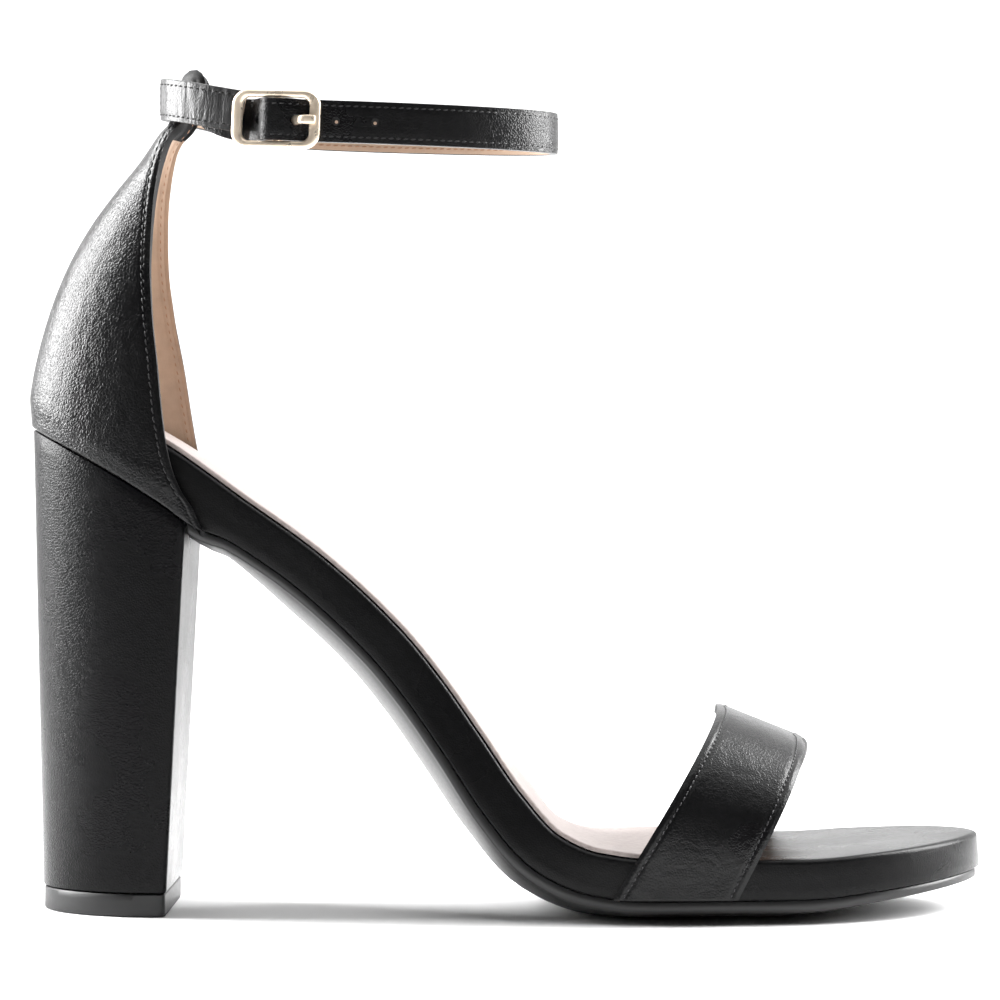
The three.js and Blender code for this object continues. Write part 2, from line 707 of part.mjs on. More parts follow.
function buckleFrame() {
  const halfLength = (buckleLength - buckleBar) / 2;
  const halfHeight = (buckleHeight - buckleRail) / 2;
  const corner = buckleCorner - buckleBar / 2;
  const path = [];
  const cornerSteps = 5;
  const straight = 3;
  const centres = [[1, 1], [-1, 1], [-1, -1], [1, -1]];
  centres.forEach(([sx, sy], quarter) => {
    for (let i = 0; i <= cornerSteps; i += 1) {
      const angle = Math.PI / 2 * (quarter + i / cornerSteps);
      path.push({
        x: sx * (halfLength - corner) + corner * Math.cos(angle),
        y: sy * (halfHeight - corner) + corner * Math.sin(angle),
        angle,
      });
    }
    if (quarter % 2 === 0) {
      for (let i = 1; i < straight * 2; i += 1) {
        path.push({
          x: sx * mix(halfLength - corner, corner - halfLength, i / (straight * 2)),
          y: sy * halfHeight,
          angle: Math.PI / 2 * (quarter + 1),
        });
      }
    }
  });
  const sides = 8;
  const rings = path.map(({ x, y, angle }) => {
    const ring = [];
    const width = mix(buckleRail, buckleBar, Math.abs(Math.cos(angle)));
    for (let k = 0; k < sides; k += 1) {
      const turn = 2 * Math.PI * (k + 0.5) / sides;
      const reach = width / 2 * Math.cos(turn) / Math.cos(Math.PI / sides);
      const lift = buckleBarDepth / 2 * Math.sin(turn) / Math.cos(Math.PI / sides);
      ring.push(onLoop(
        buckleStation + x + reach * Math.cos(angle),
        y + reach * Math.sin(angle),
        frameOff + lift,
      ));
    }
    return ring;
  });
  const bar = [-1, 1].map((side) => {
    const ring = [];
    for (let k = 0; k < 10; k += 1) {
      const turn = 2 * Math.PI * k / 10;
      ring.push(onLoop(
        buckleStation + centreBarRadius * Math.cos(turn),
        side * halfHeight,
        centreBarOff + centreBarRadius * Math.sin(turn),
      ));
    }
    return ring;
  });
  return fromSolid(toSolid(ringSolid(rings, true)).add(toSolid(ringSolid(bar))));
}

function prong(grow = 0) {
  const hookRadius = centreBarRadius + clearance + prongThickness / 2;
  const route = [];
  for (const degrees of [195, 225, 255, 285, 315]) {
    const angle = THREE.MathUtils.degToRad(degrees);
    route.push([hookRadius * Math.cos(angle), centreBarOff + hookRadius * Math.sin(angle)]);
  }
  const restOff = frameOff + buckleBarDepth / 2 + clearance + prongThickness / 2;
  const tip = rightBarRun - buckleStation;
  route.push([prongHoleOffset - 1.6, ankleStrapOff(buckleStation + prongHoleOffset) - 1.1]);
  route.push([prongHoleOffset + 0.3, ankleStrapOff(buckleStation + prongHoleOffset) + 0.9]);
  route.push([mix(prongHoleOffset, tip, 0.5), restOff - 0.35]);
  route.push([tip, restOff]);
  const curve = new THREE.CatmullRomCurve3(route.map(([run, off]) => new THREE.Vector3(run, off, 0)), false, 'centripetal');
  const steps = 22;
  const rings = [];
  for (let i = 0; i <= steps; i += 1) {
    const share = i / steps;
    const at = curve.getPoint(share);
    const way = curve.getTangent(share);
    const over = i === 0 ? -grow : i === steps ? grow : 0;
    const half = prongWidth / 2 + grow;
    const thick = prongThickness / 2 + grow;
    const corners = [
      [-half, -thick / 2], [-half / 2, -thick], [half / 2, -thick], [half, -thick / 2],
      [half, thick / 2], [half / 2, thick], [-half / 2, thick], [-half, thick / 2],
    ];
    rings.push(corners.map(([rise, off]) => onLoop(
      buckleStation + at.x + way.x * over - off * way.y,
      rise,
      at.y + way.y * over + off * way.x,
    )));
  }
  return ringSolid(rings);
}

// Counter: rows of rounded heel curves that lean from the seam's slope to level and narrow to a
// neck that passes behind the straps.
const counterPlace = (row) => counterRows.indexOf(row);
const counterColumn = (key, scale) => column(counterRows, key, counterPlace, scale);
const counterBackX = counterColumn('backAlong', shoeLength);
const counterFrontX = counterColumn('frontAlong', shoeLength);
const counterBackZ = counterColumn('backRise', counterHeight);
const counterFrontZ = counterColumn('frontRise', counterHeight);
const counterDepth = counterColumn('depth', seatRoundLength);
const counterHalf = counterColumn('half', counterHalfWidth);
const counterLead = counterColumn('lead', counterInnerLead);

function counterCurve(around, row) {
  const start = back + counterBackX(row);
  const side = Math.sign(around);
  const forward = side > 0 ? counterLead(row) : 0;
  const reach = back + counterFrontX(row) + forward - start;
  const depth = Math.max(counterDepth(row), reach + 1);
  const sweep = Math.acos(1 - reach / depth) * Math.abs(around);
  const x = start + depth * (1 - Math.cos(sweep));
  const y = side * counterHalf(row) * Math.sin(sweep) ** 1.2;
  const share = (x - start) / reach;
  const z = counterFoot + mix(counterBackZ(row), counterFrontZ(row), share);
  return new THREE.Vector3(x, y, row === 0 ? underBoard(x, y, 0) : z);
}

function counter() {
  const lastRow = counterRows.length - 1;
  const outer = (u, v) => counterCurve(mix(-1, 1, u), v * lastRow);
  const settle = (point, v) => {
    if (v === 0) point.z = underBoard(point.x, point.y, 0);
    return point;
  };
  return walledSheet(28, 28, outer, leatherWall, settle);
}

// Toe strap: an arch over the toes between two leaning edges, its feet down the sole's sides.
function toeStrap() {
  const edges = toeStrapEdges.map((row) => ({
    footX: alongToX(row.footAlong),
    crownX: alongToX(row.crownAlong),
    rise: row.crown * toeStrapHeight,
  }));
  const sideShare = 0.1;
  const sideRise = (ballStack - toeStrapFoot) / toeStrapHeight;
  const outer = (u, v) => {
    const footX = mix(edges[0].footX, edges[1].footX, v);
    const crownX = mix(edges[0].crownX, edges[1].crownX, v);
    const rise = mix(edges[0].rise, edges[1].rise, v);
    const arch = Math.min(Math.max((u - sideShare) / (1 - 2 * sideShare), 0), 1);
    const angle = Math.PI * arch;
    const lift = u < sideShare || u > 1 - sideShare
      ? sideRise * Math.min(u, 1 - u) / sideShare
      : sideRise + (1 - sideRise) * Math.sin(angle) ** 0.85;
    const reach = Math.abs(Math.cos(angle)) ** 0.75 * Math.sign(Math.cos(angle));
    const across = (1 - reach) / 2;
    const x = mix(footX, crownX, lift) + toeStrapSkew * smoothStep(0.5, 1, across);
    const standOff = clearance + toeStrapWall;
    const left = Math.min(outerEdge(x), outerEdge(x + bendLean)) - standOff;
    const right = Math.max(innerEdge(x), innerEdge(x + bendLean)) + standOff;
    return new THREE.Vector3(x, mix(left, right, across), toeStrapFoot + rise * lift);
  };
  return walledSheet(40, 5, outer, toeStrapWall);
}

// Materials from the photo
const blackLeather = { color: 0x1c1c1e, roughness: 0.45, metalness: 0 };
const blackRubber = { color: 0x1a1a1b, roughness: 0.6, metalness: 0 };
const paleSock = { color: 0xe0cdc8, roughness: 0.55, metalness: 0 };
const paleGold = { color: 0xd6c0a0, roughness: 0.22, metalness: 1 };

const pieces = [
  ['outsole', outsole(), blackRubber],
  ['platform', platform(), blackLeather],
  ['insole', insole(), paleSock],
  ['heel_block', heelBlock(), blackLeather],
  ['heel_cap', heelCap(), blackRubber],
  ['counter', counter(), blackLeather],
  ['toe_strap', toeStrap(), blackLeather],
  ['ankle_strap', ankleStrap(), blackLeather],
  ['buckle_strap', buckleStrap(), blackLeather],
  ['buckle_frame', buckleFrame(), paleGold],
  ['buckle_prong', prong(), paleGold],
];

const sandal = new THREE.Group();
for (const [name, geometry, look] of pieces) {
  const mesh = new THREE.Mesh(geometry, new THREE.MeshStandardMaterial(look));
  mesh.name = name;
  sandal.add(mesh);
}
const box = new THREE.Box3().setFromObject(sandal, true);
const middle = box.getCenter(new THREE.Vector3());
for (const mesh of sandal.children) {
  mesh.position.set(-middle.x, -middle.y, -box.min.z);
}

export default sandal;
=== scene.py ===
"""Open-toe sandal with a block heel, a closed counter, one toe strap and a buckled ankle strap.

Places are worked out in millimetres in the pattern's own frame: X towards the toe, Y towards the
inner side of the foot, Z up. The buckle side faces the camera.
"""
import math

import bpy
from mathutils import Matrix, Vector


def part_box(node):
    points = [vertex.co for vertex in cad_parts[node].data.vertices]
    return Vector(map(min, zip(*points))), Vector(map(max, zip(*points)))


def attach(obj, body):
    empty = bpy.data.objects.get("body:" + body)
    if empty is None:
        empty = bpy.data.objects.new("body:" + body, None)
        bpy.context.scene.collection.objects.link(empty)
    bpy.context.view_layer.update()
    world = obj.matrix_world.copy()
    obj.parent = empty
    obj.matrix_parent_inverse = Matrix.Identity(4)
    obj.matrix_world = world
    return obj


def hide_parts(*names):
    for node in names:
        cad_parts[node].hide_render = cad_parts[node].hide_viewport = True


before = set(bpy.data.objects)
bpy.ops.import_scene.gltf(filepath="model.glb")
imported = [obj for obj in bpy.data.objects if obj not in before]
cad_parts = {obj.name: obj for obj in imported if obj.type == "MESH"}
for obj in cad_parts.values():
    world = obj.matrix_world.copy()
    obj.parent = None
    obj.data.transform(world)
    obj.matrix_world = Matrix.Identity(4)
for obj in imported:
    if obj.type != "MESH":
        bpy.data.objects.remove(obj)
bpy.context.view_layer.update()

MM = 0.001

# Sole and heel, as named in the pattern
SHOE_LENGTH = 222
BALL_WIDTH = 77
BALL_STACK = 14.5
HEEL_RISE = 110.1
SEAT_ROUND = 40
GAP = 0.3
TOE_CENTRE = 4
TOE_ROUND_OUTER = 48
TOE_ROUND_INNER = 36
HEEL_TOP_LENGTH = 37.3
HEEL_TOP_HALF = 25.4
HEEL_FOOT_LENGTH = 30.6
HEEL_FOOT_HALF = 23.6
HEEL_FOOT_BACK = 2.3
HEEL_CORNER = 1.6
HEEL_CAP_HEIGHT = 5.1
HEEL_CAP_INSET = 0.3
BACK = -SHOE_LENGTH / 2
HEEL_BACK = BACK + 0.9

# Upper
WALL = 1.8
COUNTER_HEIGHT = 80.3
COUNTER_FOOT = 112.3
COUNTER_HALF = 26.5
COUNTER_LEAD = 3.2
TOE_STRAP_HEIGHT = 42
TOE_STRAP_FOOT = 5.6
TOE_STRAP_SKEW = 7.5
TOE_STRAP_LEAN = 2.4

# Ankle strap. A run is a distance along the loop from its back, an offset a distance off its plan.
STRAP_HALF = 4.8
LOOP_BACK = 30.5
LOOP_HALF_LONG = 46.45
LOOP_HALF_WIDE = 26
LOOP_CENTRE = BACK + LOOP_BACK + LOOP_HALF_LONG
LOOP_LONG = LOOP_HALF_LONG - WALL / 2
LOOP_WIDE = LOOP_HALF_WIDE - WALL / 2
LOOP_FRONT_TOP = 184.1
LOOP_BACK_RISE = 3.15
LOOP_INNER_RISE = 2.5
LOOP_CLIMB = 5
LONG_STRAP_UNDER = -2.1
TAIL_RUN = 15.5
HOLE_SPACING = 8.9
HOLE_RADIUS = 0.9
PRONG_HOLE_RADIUS = 1.25
STRAP_SEAM_RISE = 3.5

# Buckle
BUCKLE_RUN = 38.8
FRAME_HALF_LONG = 10.2
FRAME_HALF_HIGH = 6.7
FRAME_CORNER = 4
FRAME_HALF_THICK = 0.9
FRAME_OFF = 2.1
BAR_WIDTH = 2.5
RAIL_WIDTH = 1.8
BAR_RADIUS = 0.75
BAR_HALF_HIGH = 5.8
BAR_OFF = FRAME_OFF - 1.2
PRONG_HALF_THICK = 0.6
PRONG_HALF_WIDE = 1.05
PRONG_RUN = BUCKLE_RUN + 4.6
OVER_BAR_OFF = BAR_OFF + BAR_RADIUS + GAP + WALL / 2
LEFT_BAR_RUN = BUCKLE_RUN - FRAME_HALF_LONG + BAR_WIDTH / 2
RIGHT_BAR_RUN = BUCKLE_RUN + FRAME_HALF_LONG - BAR_WIDTH / 2

# along, rise, inner lift, outer half width, inner half width
FOOTBED = [
    (0.0122, 1, 0, 0.312, 0.312), (0.1532, 0.8438, 0, 0.312, 0.312),
    (0.229, 0.7357, 0.005, 0.312, 0.307), (0.3105, 0.6167, 0.018, 0.314, 0.296),
    (0.3923, 0.4641, 0.025, 0.332, 0.294), (0.4333, 0.3642, 0.024, 0.352, 0.304),
    (0.4743, 0.248, 0.017, 0.39, 0.328), (0.5149, 0.1308, 0.002, 0.432, 0.364),
    (0.5554, 0.0445, -0.016, 0.472, 0.402), (0.5955, 0.0109, -0.01, 0.496, 0.436),
    (0.6441, 0, 0, 0.512, 0.468), (0.7973, 0, 0, 0.5, 0.494),
    (0.8829, 0.01, 0, 0.494, 0.49), (0.999, 0.028, 0, 0.494, 0.49),
]

# along, board, outsole edge, outsole dome
STACK = [
    (0.0122, 0.821, 0.15, 0.25), (0.165, 0.821, 0.15, 0.08), (0.235, 0.65, 0.152, 0.14),
    (0.33, 0.62, 0.152, 0.31), (0.45, 0.62, 0.152, 0.33), (0.53, 0.64, 0.175, 0.27),
    (0.6, 0.65, 0.2, 0.23), (0.78, 0.63, 0.2, 0.2), (0.9, 0.59, 0.16, 0.1),
    (0.999, 0.56, 0.15, 0.06),
]

# back along, back rise, front along, front rise, depth, half width, inner lead
COUNTER = [
    (0.0027, 0, 0.1932, -0.283, 1.06, 1, 0), (0, 0.076, 0.17, -0.198, 1.06, 1.015, 0.5),
    (0.0027, 0.135, 0.156, -0.102, 1.05, 1.01, 1), (0.01, 0.227, 0.148, 0.027, 1, 0.98, 0.95),
    (0.022, 0.339, 0.142, 0.181, 0.9, 0.92, 0.8), (0.039, 0.457, 0.1355, 0.333, 0.78, 0.82, 0.6),
    (0.062, 0.572, 0.1324, 0.482, 0.63, 0.7, 0.45), (0.0905, 0.681, 0.1335, 0.625, 0.43, 0.56, 0.4),
    (0.116, 0.768, 0.139, 0.755, 0.22, 0.408, 0.4), (0.1356, 0.847, 0.149, 0.843, 0.12, 0.339, 0.5),
    (0.1473, 0.887, 0.1626, 0.881, 0.136, 0.302, 0.6),
    (0.153, 0.943, 0.177, 0.943, 0.19, 0.289, 0.4), (0.157, 0.985, 0.1865, 0.985, 0.2, 0.25, 0.15),
    (0.1608, 1.016, 0.1838, 1.016, 0.17, 0.2, 0.05),
    (0.167, 1.0335, 0.177, 1.0335, 0.09, 0.13, 0),
]

cap_low, cap_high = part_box("heel_cap")
SHIFT_X = cap_low.x / MM - (HEEL_BACK + HEEL_FOOT_BACK + HEEL_CAP_INSET)
SHIFT_Y = (cap_low.y + cap_high.y) / 2 / MM


def mix(a, b, t):
    return a + (b - a) * t


def clamp(value, low=0.0, high=1.0):
    return min(max(value, low), high)


def smooth_step(start, stop, value):
    t = clamp((value - start) / (stop - start))
    return t * t * (3 - 2 * t)


def squared(value, power):
    """A circle's sine or cosine, swelled towards a rounded square."""
    return math.copysign(abs(value) ** power, value)


def along_to_x(share):
    return BACK + share * SHOE_LENGTH


def to_scene(point):
    return ((point[0] + SHIFT_X) * MM, (point[1] + SHIFT_Y) * MM, point[2] * MM)


def curve_through(xs, ys):
    """A curve through a table's values that never overshoots them."""
    last = len(xs) - 1
    step = [(ys[i + 1] - ys[i]) / (xs[i + 1] - xs[i]) for i in range(last)]
    slope = [step[0]]
    for a, b in zip(step, step[1:]):
        slope.append(0 if a * b <= 0 else 2 * a * b / (a + b))
    slope.append(step[-1])

    def value(x):
        i = 0
        while i < last - 1 and x > xs[i + 1]:
            i += 1
        span = xs[i + 1] - xs[i]
        t = (x - xs[i]) / span
        if t < 0:
            return ys[i] + slope[i] * (x - xs[i])
        if t > 1:
            return ys[last] + slope[last] * (x - xs[last])
        return ((1 + 2 * t) * (1 - t) ** 2 * ys[i] + t * (1 - t) ** 2 * span * slope[i]
                + t * t * (3 - 2 * t) * ys[i + 1] + t * t * (t - 1) * span * slope[i + 1])
    return value


def table_curves(rows, scales, places=None):
    xs = places or [along_to_x(row[0]) for row in rows]
    first = 0 if places else 1
    return [curve_through(xs, [row[first + k] * scale for row in rows])
            for k, scale in enumerate(scales)]


rise_at, inner_lift_at, outer_half_at, inner_half_at = table_curves(
    FOOTBED, (HEEL_RISE, HEEL_RISE, BALL_WIDTH, BALL_WIDTH))
board_at, edge_at, dome_at = table_curves(STACK, (BALL_STACK,) * 3)
(counter_back_x, counter_back_z, counter_front_x, counter_front_z, counter_depth, counter_half,
 counter_lead) = table_curves(
    COUNTER, (SHOE_LENGTH, COUNTER_HEIGHT, SHOE_LENGTH, COUNTER_HEIGHT, SEAT_ROUND, COUNTER_HALF,
              COUNTER_LEAD), list(range(len(COUNTER))))
SEAT_BACK = along_to_x(FOOTBED[0][0])
TOE_TIP = along_to_x(FOOTBED[-1][0])


def rounded_end(distance, length, power):
    u = clamp(distance / length)
    return (1 - (1 - u) ** 2) ** power


def toe_middle(x):
    return TOE_CENTRE * smooth_step(TOE_TIP - 2 * TOE_ROUND_OUTER, TOE_TIP - TOE_ROUND_OUTER, x)


def outer_edge(x):
    seat = rounded_end(x - SEAT_BACK, SEAT_ROUND, 0.6)
    toe = rounded_end(TOE_TIP - x, TOE_ROUND_OUTER, 0.66)
    middle = toe_middle(x)
    return middle - (outer_half_at(x) * seat + middle) * toe


def inner_edge(x):
    seat = rounded_end(x - SEAT_BACK, SEAT_ROUND, 0.6)
    toe = rounded_end(TOE_TIP - x, TOE_ROUND_INNER, 0.52)
    middle = toe_middle(x)
    return middle + (inner_half_at(x) * seat - middle) * toe


def over_footbed(x, y, height):
    """A point at a height over the footbed, square to it, but plumb round the heel seat."""
    slope = (rise_at(x + 0.05) - rise_at(x - 0.05)) / 0.1
    nz = 1 / math.hypot(1, slope)
    nx = -slope * nz
    lean = smooth_step(SEAT_BACK + 0.9 * SEAT_ROUND, SEAT_BACK + 1.5 * SEAT_ROUND, x)
    across = clamp((y + outer_half_at(x)) / (outer_half_at(x) + inner_half_at(x)))
    z = BALL_STACK + rise_at(x) + inner_lift_at(x) * across
    return Vector((x + height * nx * lean, y, z + height * (nz + (1 - lean) * nx * nx / nz)))


def under_board(x, y, extra):
    low, high = x - 1, x + 20
    for _ in range(24):
        middle = (low + high) / 2
        if over_footbed(middle, y, -board_at(middle) - extra).x < x:
            low = middle
        else:
            high = middle
    return over_footbed(low, y, -board_at(low) - extra).z


# Modelling: every piece starts as a primitive and is shaped from its rows and columns

def deselect_all():
    bpy.ops.object.select_all(action='DESELECT')


def pick(piece):
    deselect_all()
    piece.select_set(True)
    bpy.context.view_layer.objects.active = piece


def apply_modifier(piece, kind, **settings):
    pick(piece)
    modifier = piece.modifiers.new(kind.title(), kind)
    for key, value in settings.items():
        setattr(modifier, key, value)
    bpy.ops.object.modifier_apply(modifier=modifier.name)


def formed_grid(name, columns, rows, place, materials, choose=None):
    """A grid whose points are laid on a form: place(i, j) gives each point in millimetres."""
    deselect_all()
    bpy.ops.mesh.primitive_grid_add(x_subdivisions=columns, y_subdivisions=rows, size=1)
    piece = bpy.context.object
    piece.name = name
    piece.data.name = name
    for material in materials:
        piece.data.materials.append(material)
    stride = columns + 1
    if choose:
        for face in piece.data.polygons:
            low = min(face.vertices)
            face.material_index = choose(low % stride, low // stride)
    for vertex in piece.data.vertices:
        vertex.co = to_scene(place(vertex.index % stride, vertex.index // stride))
    return piece


def weld(piece):
    pick(piece)
    bpy.ops.object.mode_set(mode='EDIT')
    bpy.ops.mesh.select_all(action='SELECT')
    bpy.ops.mesh.remove_doubles(threshold=0.000002)
    bpy.ops.mesh.dissolve_degenerate(threshold=0.0000005)
    bpy.ops.mesh.normals_make_consistent(inside=False)
    bpy.ops.object.mode_set(mode='OBJECT')


def smooth(piece, degrees=38):
    pick(piece)
    bpy.ops.object.shade_smooth_by_angle(angle=math.radians(degrees))


def finish_piece(piece, slot, *nodes):
    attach(piece, "root")
    if nodes:
        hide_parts(*nodes)


def face_out(piece, direction):
    """Turns an open sheet over where most of it looks away from the given way."""
    score = sum(face.area * face.normal.dot(direction(face.center)) for face in piece.data.polygons)
    if score < 0:
        pick(piece)
        bpy.ops.object.mode_set(mode='EDIT')
        bpy.ops.mesh.select_all(action='SELECT')
        bpy.ops.mesh.flip_normals()
        bpy.ops.object.mode_set(mode='OBJECT')


def surface_normal(surface, u, v):
    d = 1e-3
    du = surface(min(u + d, 1), v) - surface(max(u - d, 0), v)
    dv = surface(u, min(v + d, 1)) - surface(u, max(v - d, 0))
    return dv.cross(du).normalized()


def seam_relief(from_edge, stitch_in):
    """How a sewn edge shapes the leather: a thin rim, and a channel under the stitches."""
    return (-0.16 * math.exp(-((from_edge - stitch_in) / 0.55) ** 2)
            - 0.3 * math.exp(-(from_edge / 0.7) ** 2))


def sew(name, path, pitch, length, width, material, lift=0.08, slant=7):
    """One row of stitches along a path of (point, outward) pairs."""
    deselect_all()
    bpy.ops.mesh.primitive_uv_sphere_add(segments=6, ring_count=4, radius=1)
    stitch = bpy.context.object
    shape = [vertex.co.copy() for vertex in stitch.data.vertices]
    sides = [tuple(face.vertices) for face in stitch.data.polygons]
    bpy.data.objects.remove(stitch)
    runs = [0.0]
    for (a, _), (b, _) in zip(path, path[1:]):
        runs.append(runs[-1] + (b - a).length)
    count = max(1, int(runs[-1] / pitch))
    points, faces = [], []
    k = 0
    for n in range(count):
        target = (n + 0.5) * runs[-1] / count
        while k < len(runs) - 2 and runs[k + 1] < target:
            k += 1
        t = (target - runs[k]) / max(runs[k + 1] - runs[k], 1e-9)
        centre = path[k][0].lerp(path[k + 1][0], t)
        out = path[k][1].lerp(path[k + 1][1], t).normalized()
        way = (path[k + 1][0] - path[k][0]).normalized()
        side = out.cross(way).normalized()
        way = side.cross(out)
        turn = math.radians(slant)
        lie = way * math.cos(turn) + side * math.sin(turn)
        over = side * math.cos(turn) - way * math.sin(turn)
        start = len(points)
        for co in shape:
            sink = -0.25 * co.z * co.z * width
            spot = centre + out * (lift + co.x * width * 0.5 + sink)
            spot += over * co.y * width / 2 + lie * co.z * length / 2
            points.append(to_scene(spot))
        faces += [tuple(start + index for index in face) for face in sides]
    mesh = bpy.data.meshes.new(name)
    mesh.from_pydata(points, [], faces)
    row = bpy.data.objects.new(name, mesh)
    bpy.context.scene.collection.objects.link(row)
    mesh.materials.append(material)
    weld(row)
    smooth(row, 80)
    finish_piece(row, "upper_leather")
    return row


# Finishes

BLACK = (0.0032, 0.0032, 0.0036)
SATIN_METAL = 0.62


def new_finish(name, colour, roughness, metallic=0.0):
    finish = bpy.data.materials.new(name)
    finish.use_nodes = True
    nodes = finish.node_tree.nodes
    shader = nodes["Principled BSDF"]
    shader.inputs["Base Color"].default_value = (*colour, 1)
    shader.inputs["Roughness"].default_value = roughness
    shader.inputs["Metallic"].default_value = metallic
    return finish, nodes, finish.node_tree.links, shader


def add_node(nodes, kind, values=None, **settings):
    node = nodes.new(kind)
    for key, value in settings.items():
        setattr(node, key, value)
    for key, value in (values or {}).items():
        node.inputs[key].default_value = value
    return node


def object_coords(nodes, links, scale=(1, 1, 1)):
    coords = nodes.new("ShaderNodeTexCoord")
    mapping = add_node(nodes, "ShaderNodeMapping", {"Scale": scale})
    links.new(coords.outputs["Object"], mapping.inputs["Vector"])
    return mapping.outputs["Vector"]


def leather(name, colour, roughness, cells=1500, grain=0.5, wrinkles=None, gloss=0.29):
    """Grained leather: small pebbles under a soft finish, clouded, and creased where it bends."""
    finish, nodes, links, shader = new_finish(name, colour, roughness)
    place = object_coords(nodes, links)
    pebbles = add_node(nodes, "ShaderNodeTexVoronoi", {"Scale": cells}, feature='DISTANCE_TO_EDGE')
    soft = add_node(nodes, "ShaderNodeMapRange", {"From Max": 0.28},
                    interpolation_type='SMOOTHSTEP')
    fine = add_node(nodes, "ShaderNodeTexNoise",
                    {"Scale": cells * 0.35, "Detail": 5, "Roughness": 0.6})
    both = add_node(nodes, "ShaderNodeMath", {1: 0.6}, operation='MULTIPLY_ADD')
    bump = add_node(nodes, "ShaderNodeBump", {"Strength": grain, "Distance": 0.00012})
    links.new(place, pebbles.inputs["Vector"])
    links.new(place, fine.inputs["Vector"])
    links.new(pebbles.outputs["Distance"], soft.inputs["Value"])
    links.new(soft.outputs["Result"], both.inputs[0])
    links.new(fine.outputs["Fac"], both.inputs[2])
    links.new(both.outputs["Value"], bump.inputs["Height"])
    normal = bump.outputs["Normal"]
    if wrinkles:
        stretched = object_coords(nodes, links, wrinkles["stretch"])
        folds = add_node(nodes, "ShaderNodeTexNoise", {"Scale": wrinkles["scale"], "Detail": 3,
                                                       "Distortion": 0.4})
        crease = add_node(nodes, "ShaderNodeBump", {"Strength": wrinkles["strength"],
                                                    "Distance": 0.0008})
        links.new(stretched, folds.inputs["Vector"])
        links.new(folds.outputs["Fac"], crease.inputs["Height"])
        links.new(normal, crease.inputs["Normal"])
        normal = crease.outputs["Normal"]
    links.new(normal, shader.inputs["Normal"])
    clouds = add_node(nodes, "ShaderNodeTexNoise", {"Scale": 60, "Detail": 4})
    tone = add_node(nodes, "ShaderNodeMapRange",
                    {"To Min": roughness - 0.06, "To Max": roughness + 0.08})
    ramp = nodes.new("ShaderNodeValToRGB")
    ramp.color_ramp.elements[0].position = 0.25
    ramp.color_ramp.elements[0].color = (*(c * 0.8 for c in colour), 1)
    ramp.color_ramp.elements[1].position = 0.8
    ramp.color_ramp.elements[1].color = (*(min(c * 1.25, 1) for c in colour), 1)
    links.new(place, clouds.inputs["Vector"])
    links.new(clouds.outputs["Fac"], tone.inputs["Value"])
    links.new(tone.outputs["Result"], shader.inputs["Roughness"])
    links.new(fine.outputs["Fac"], ramp.inputs["Fac"])
    links.new(ramp.outputs["Color"], shader.inputs["Base Color"])
    shader.inputs["Specular IOR Level"].default_value = gloss
    return finish


def suede(name, colour):
    """Lining with a short nap: fine tufts and a soft sheen."""
    finish, nodes, links, shader = new_finish(name, colour, 0.92)
    place = object_coords(nodes, links)
    tufts = add_node(nodes, "ShaderNodeTexNoise", {"Scale": 2600, "Detail": 6, "Roughness": 0.7})
    bump = add_node(nodes, "ShaderNodeBump", {"Strength": 0.5, "Distance": 0.0001})
    clouds = add_node(nodes, "ShaderNodeTexNoise", {"Scale": 120, "Detail": 5, "Roughness": 0.65})
    ramp = nodes.new("ShaderNodeValToRGB")
    ramp.color_ramp.elements[0].position = 0.3
    ramp.color_ramp.elements[0].color = (*(c * 0.86 for c in colour), 1)
    ramp.color_ramp.elements[1].position = 0.7
    ramp.color_ramp.elements[1].color = (*(min(c * 1.1, 1) for c in colour), 1)
    links.new(place, tufts.inputs["Vector"])
    links.new(place, clouds.inputs["Vector"])
    links.new(tufts.outputs["Fac"], bump.inputs["Height"])
    links.new(bump.outputs["Normal"], shader.inputs["Normal"])
    links.new(clouds.outputs["Fac"], ramp.inputs["Fac"])
    links.new(ramp.outputs["Color"], shader.inputs["Base Color"])
    shader.inputs["Sheen Weight"].default_value = 0.25
    return finish


def plated(name, colour, roughness):
    """Satin plating with faint handling marks."""
    finish, nodes, links, shader = new_finish(name, colour, roughness, SATIN_METAL)
    place = object_coords(nodes, links)
    marks = add_node(nodes, "ShaderNodeTexNoise", {"Scale": 420, "Detail": 5})
    tone = add_node(nodes, "ShaderNodeMapRange",
                    {"To Min": roughness * 0.7, "To Max": roughness * 1.5})
    bump = add_node(nodes, "ShaderNodeBump", {"Strength": 0.05, "Distance": 0.00005})
    links.new(place, marks.inputs["Vector"])
    links.new(marks.outputs["Fac"], tone.inputs["Value"])
    links.new(tone.outputs["Result"], shader.inputs["Roughness"])
    links.new(marks.outputs["Fac"], bump.inputs["Height"])
    links.new(bump.outputs["Normal"], shader.inputs["Normal"])
    return finish


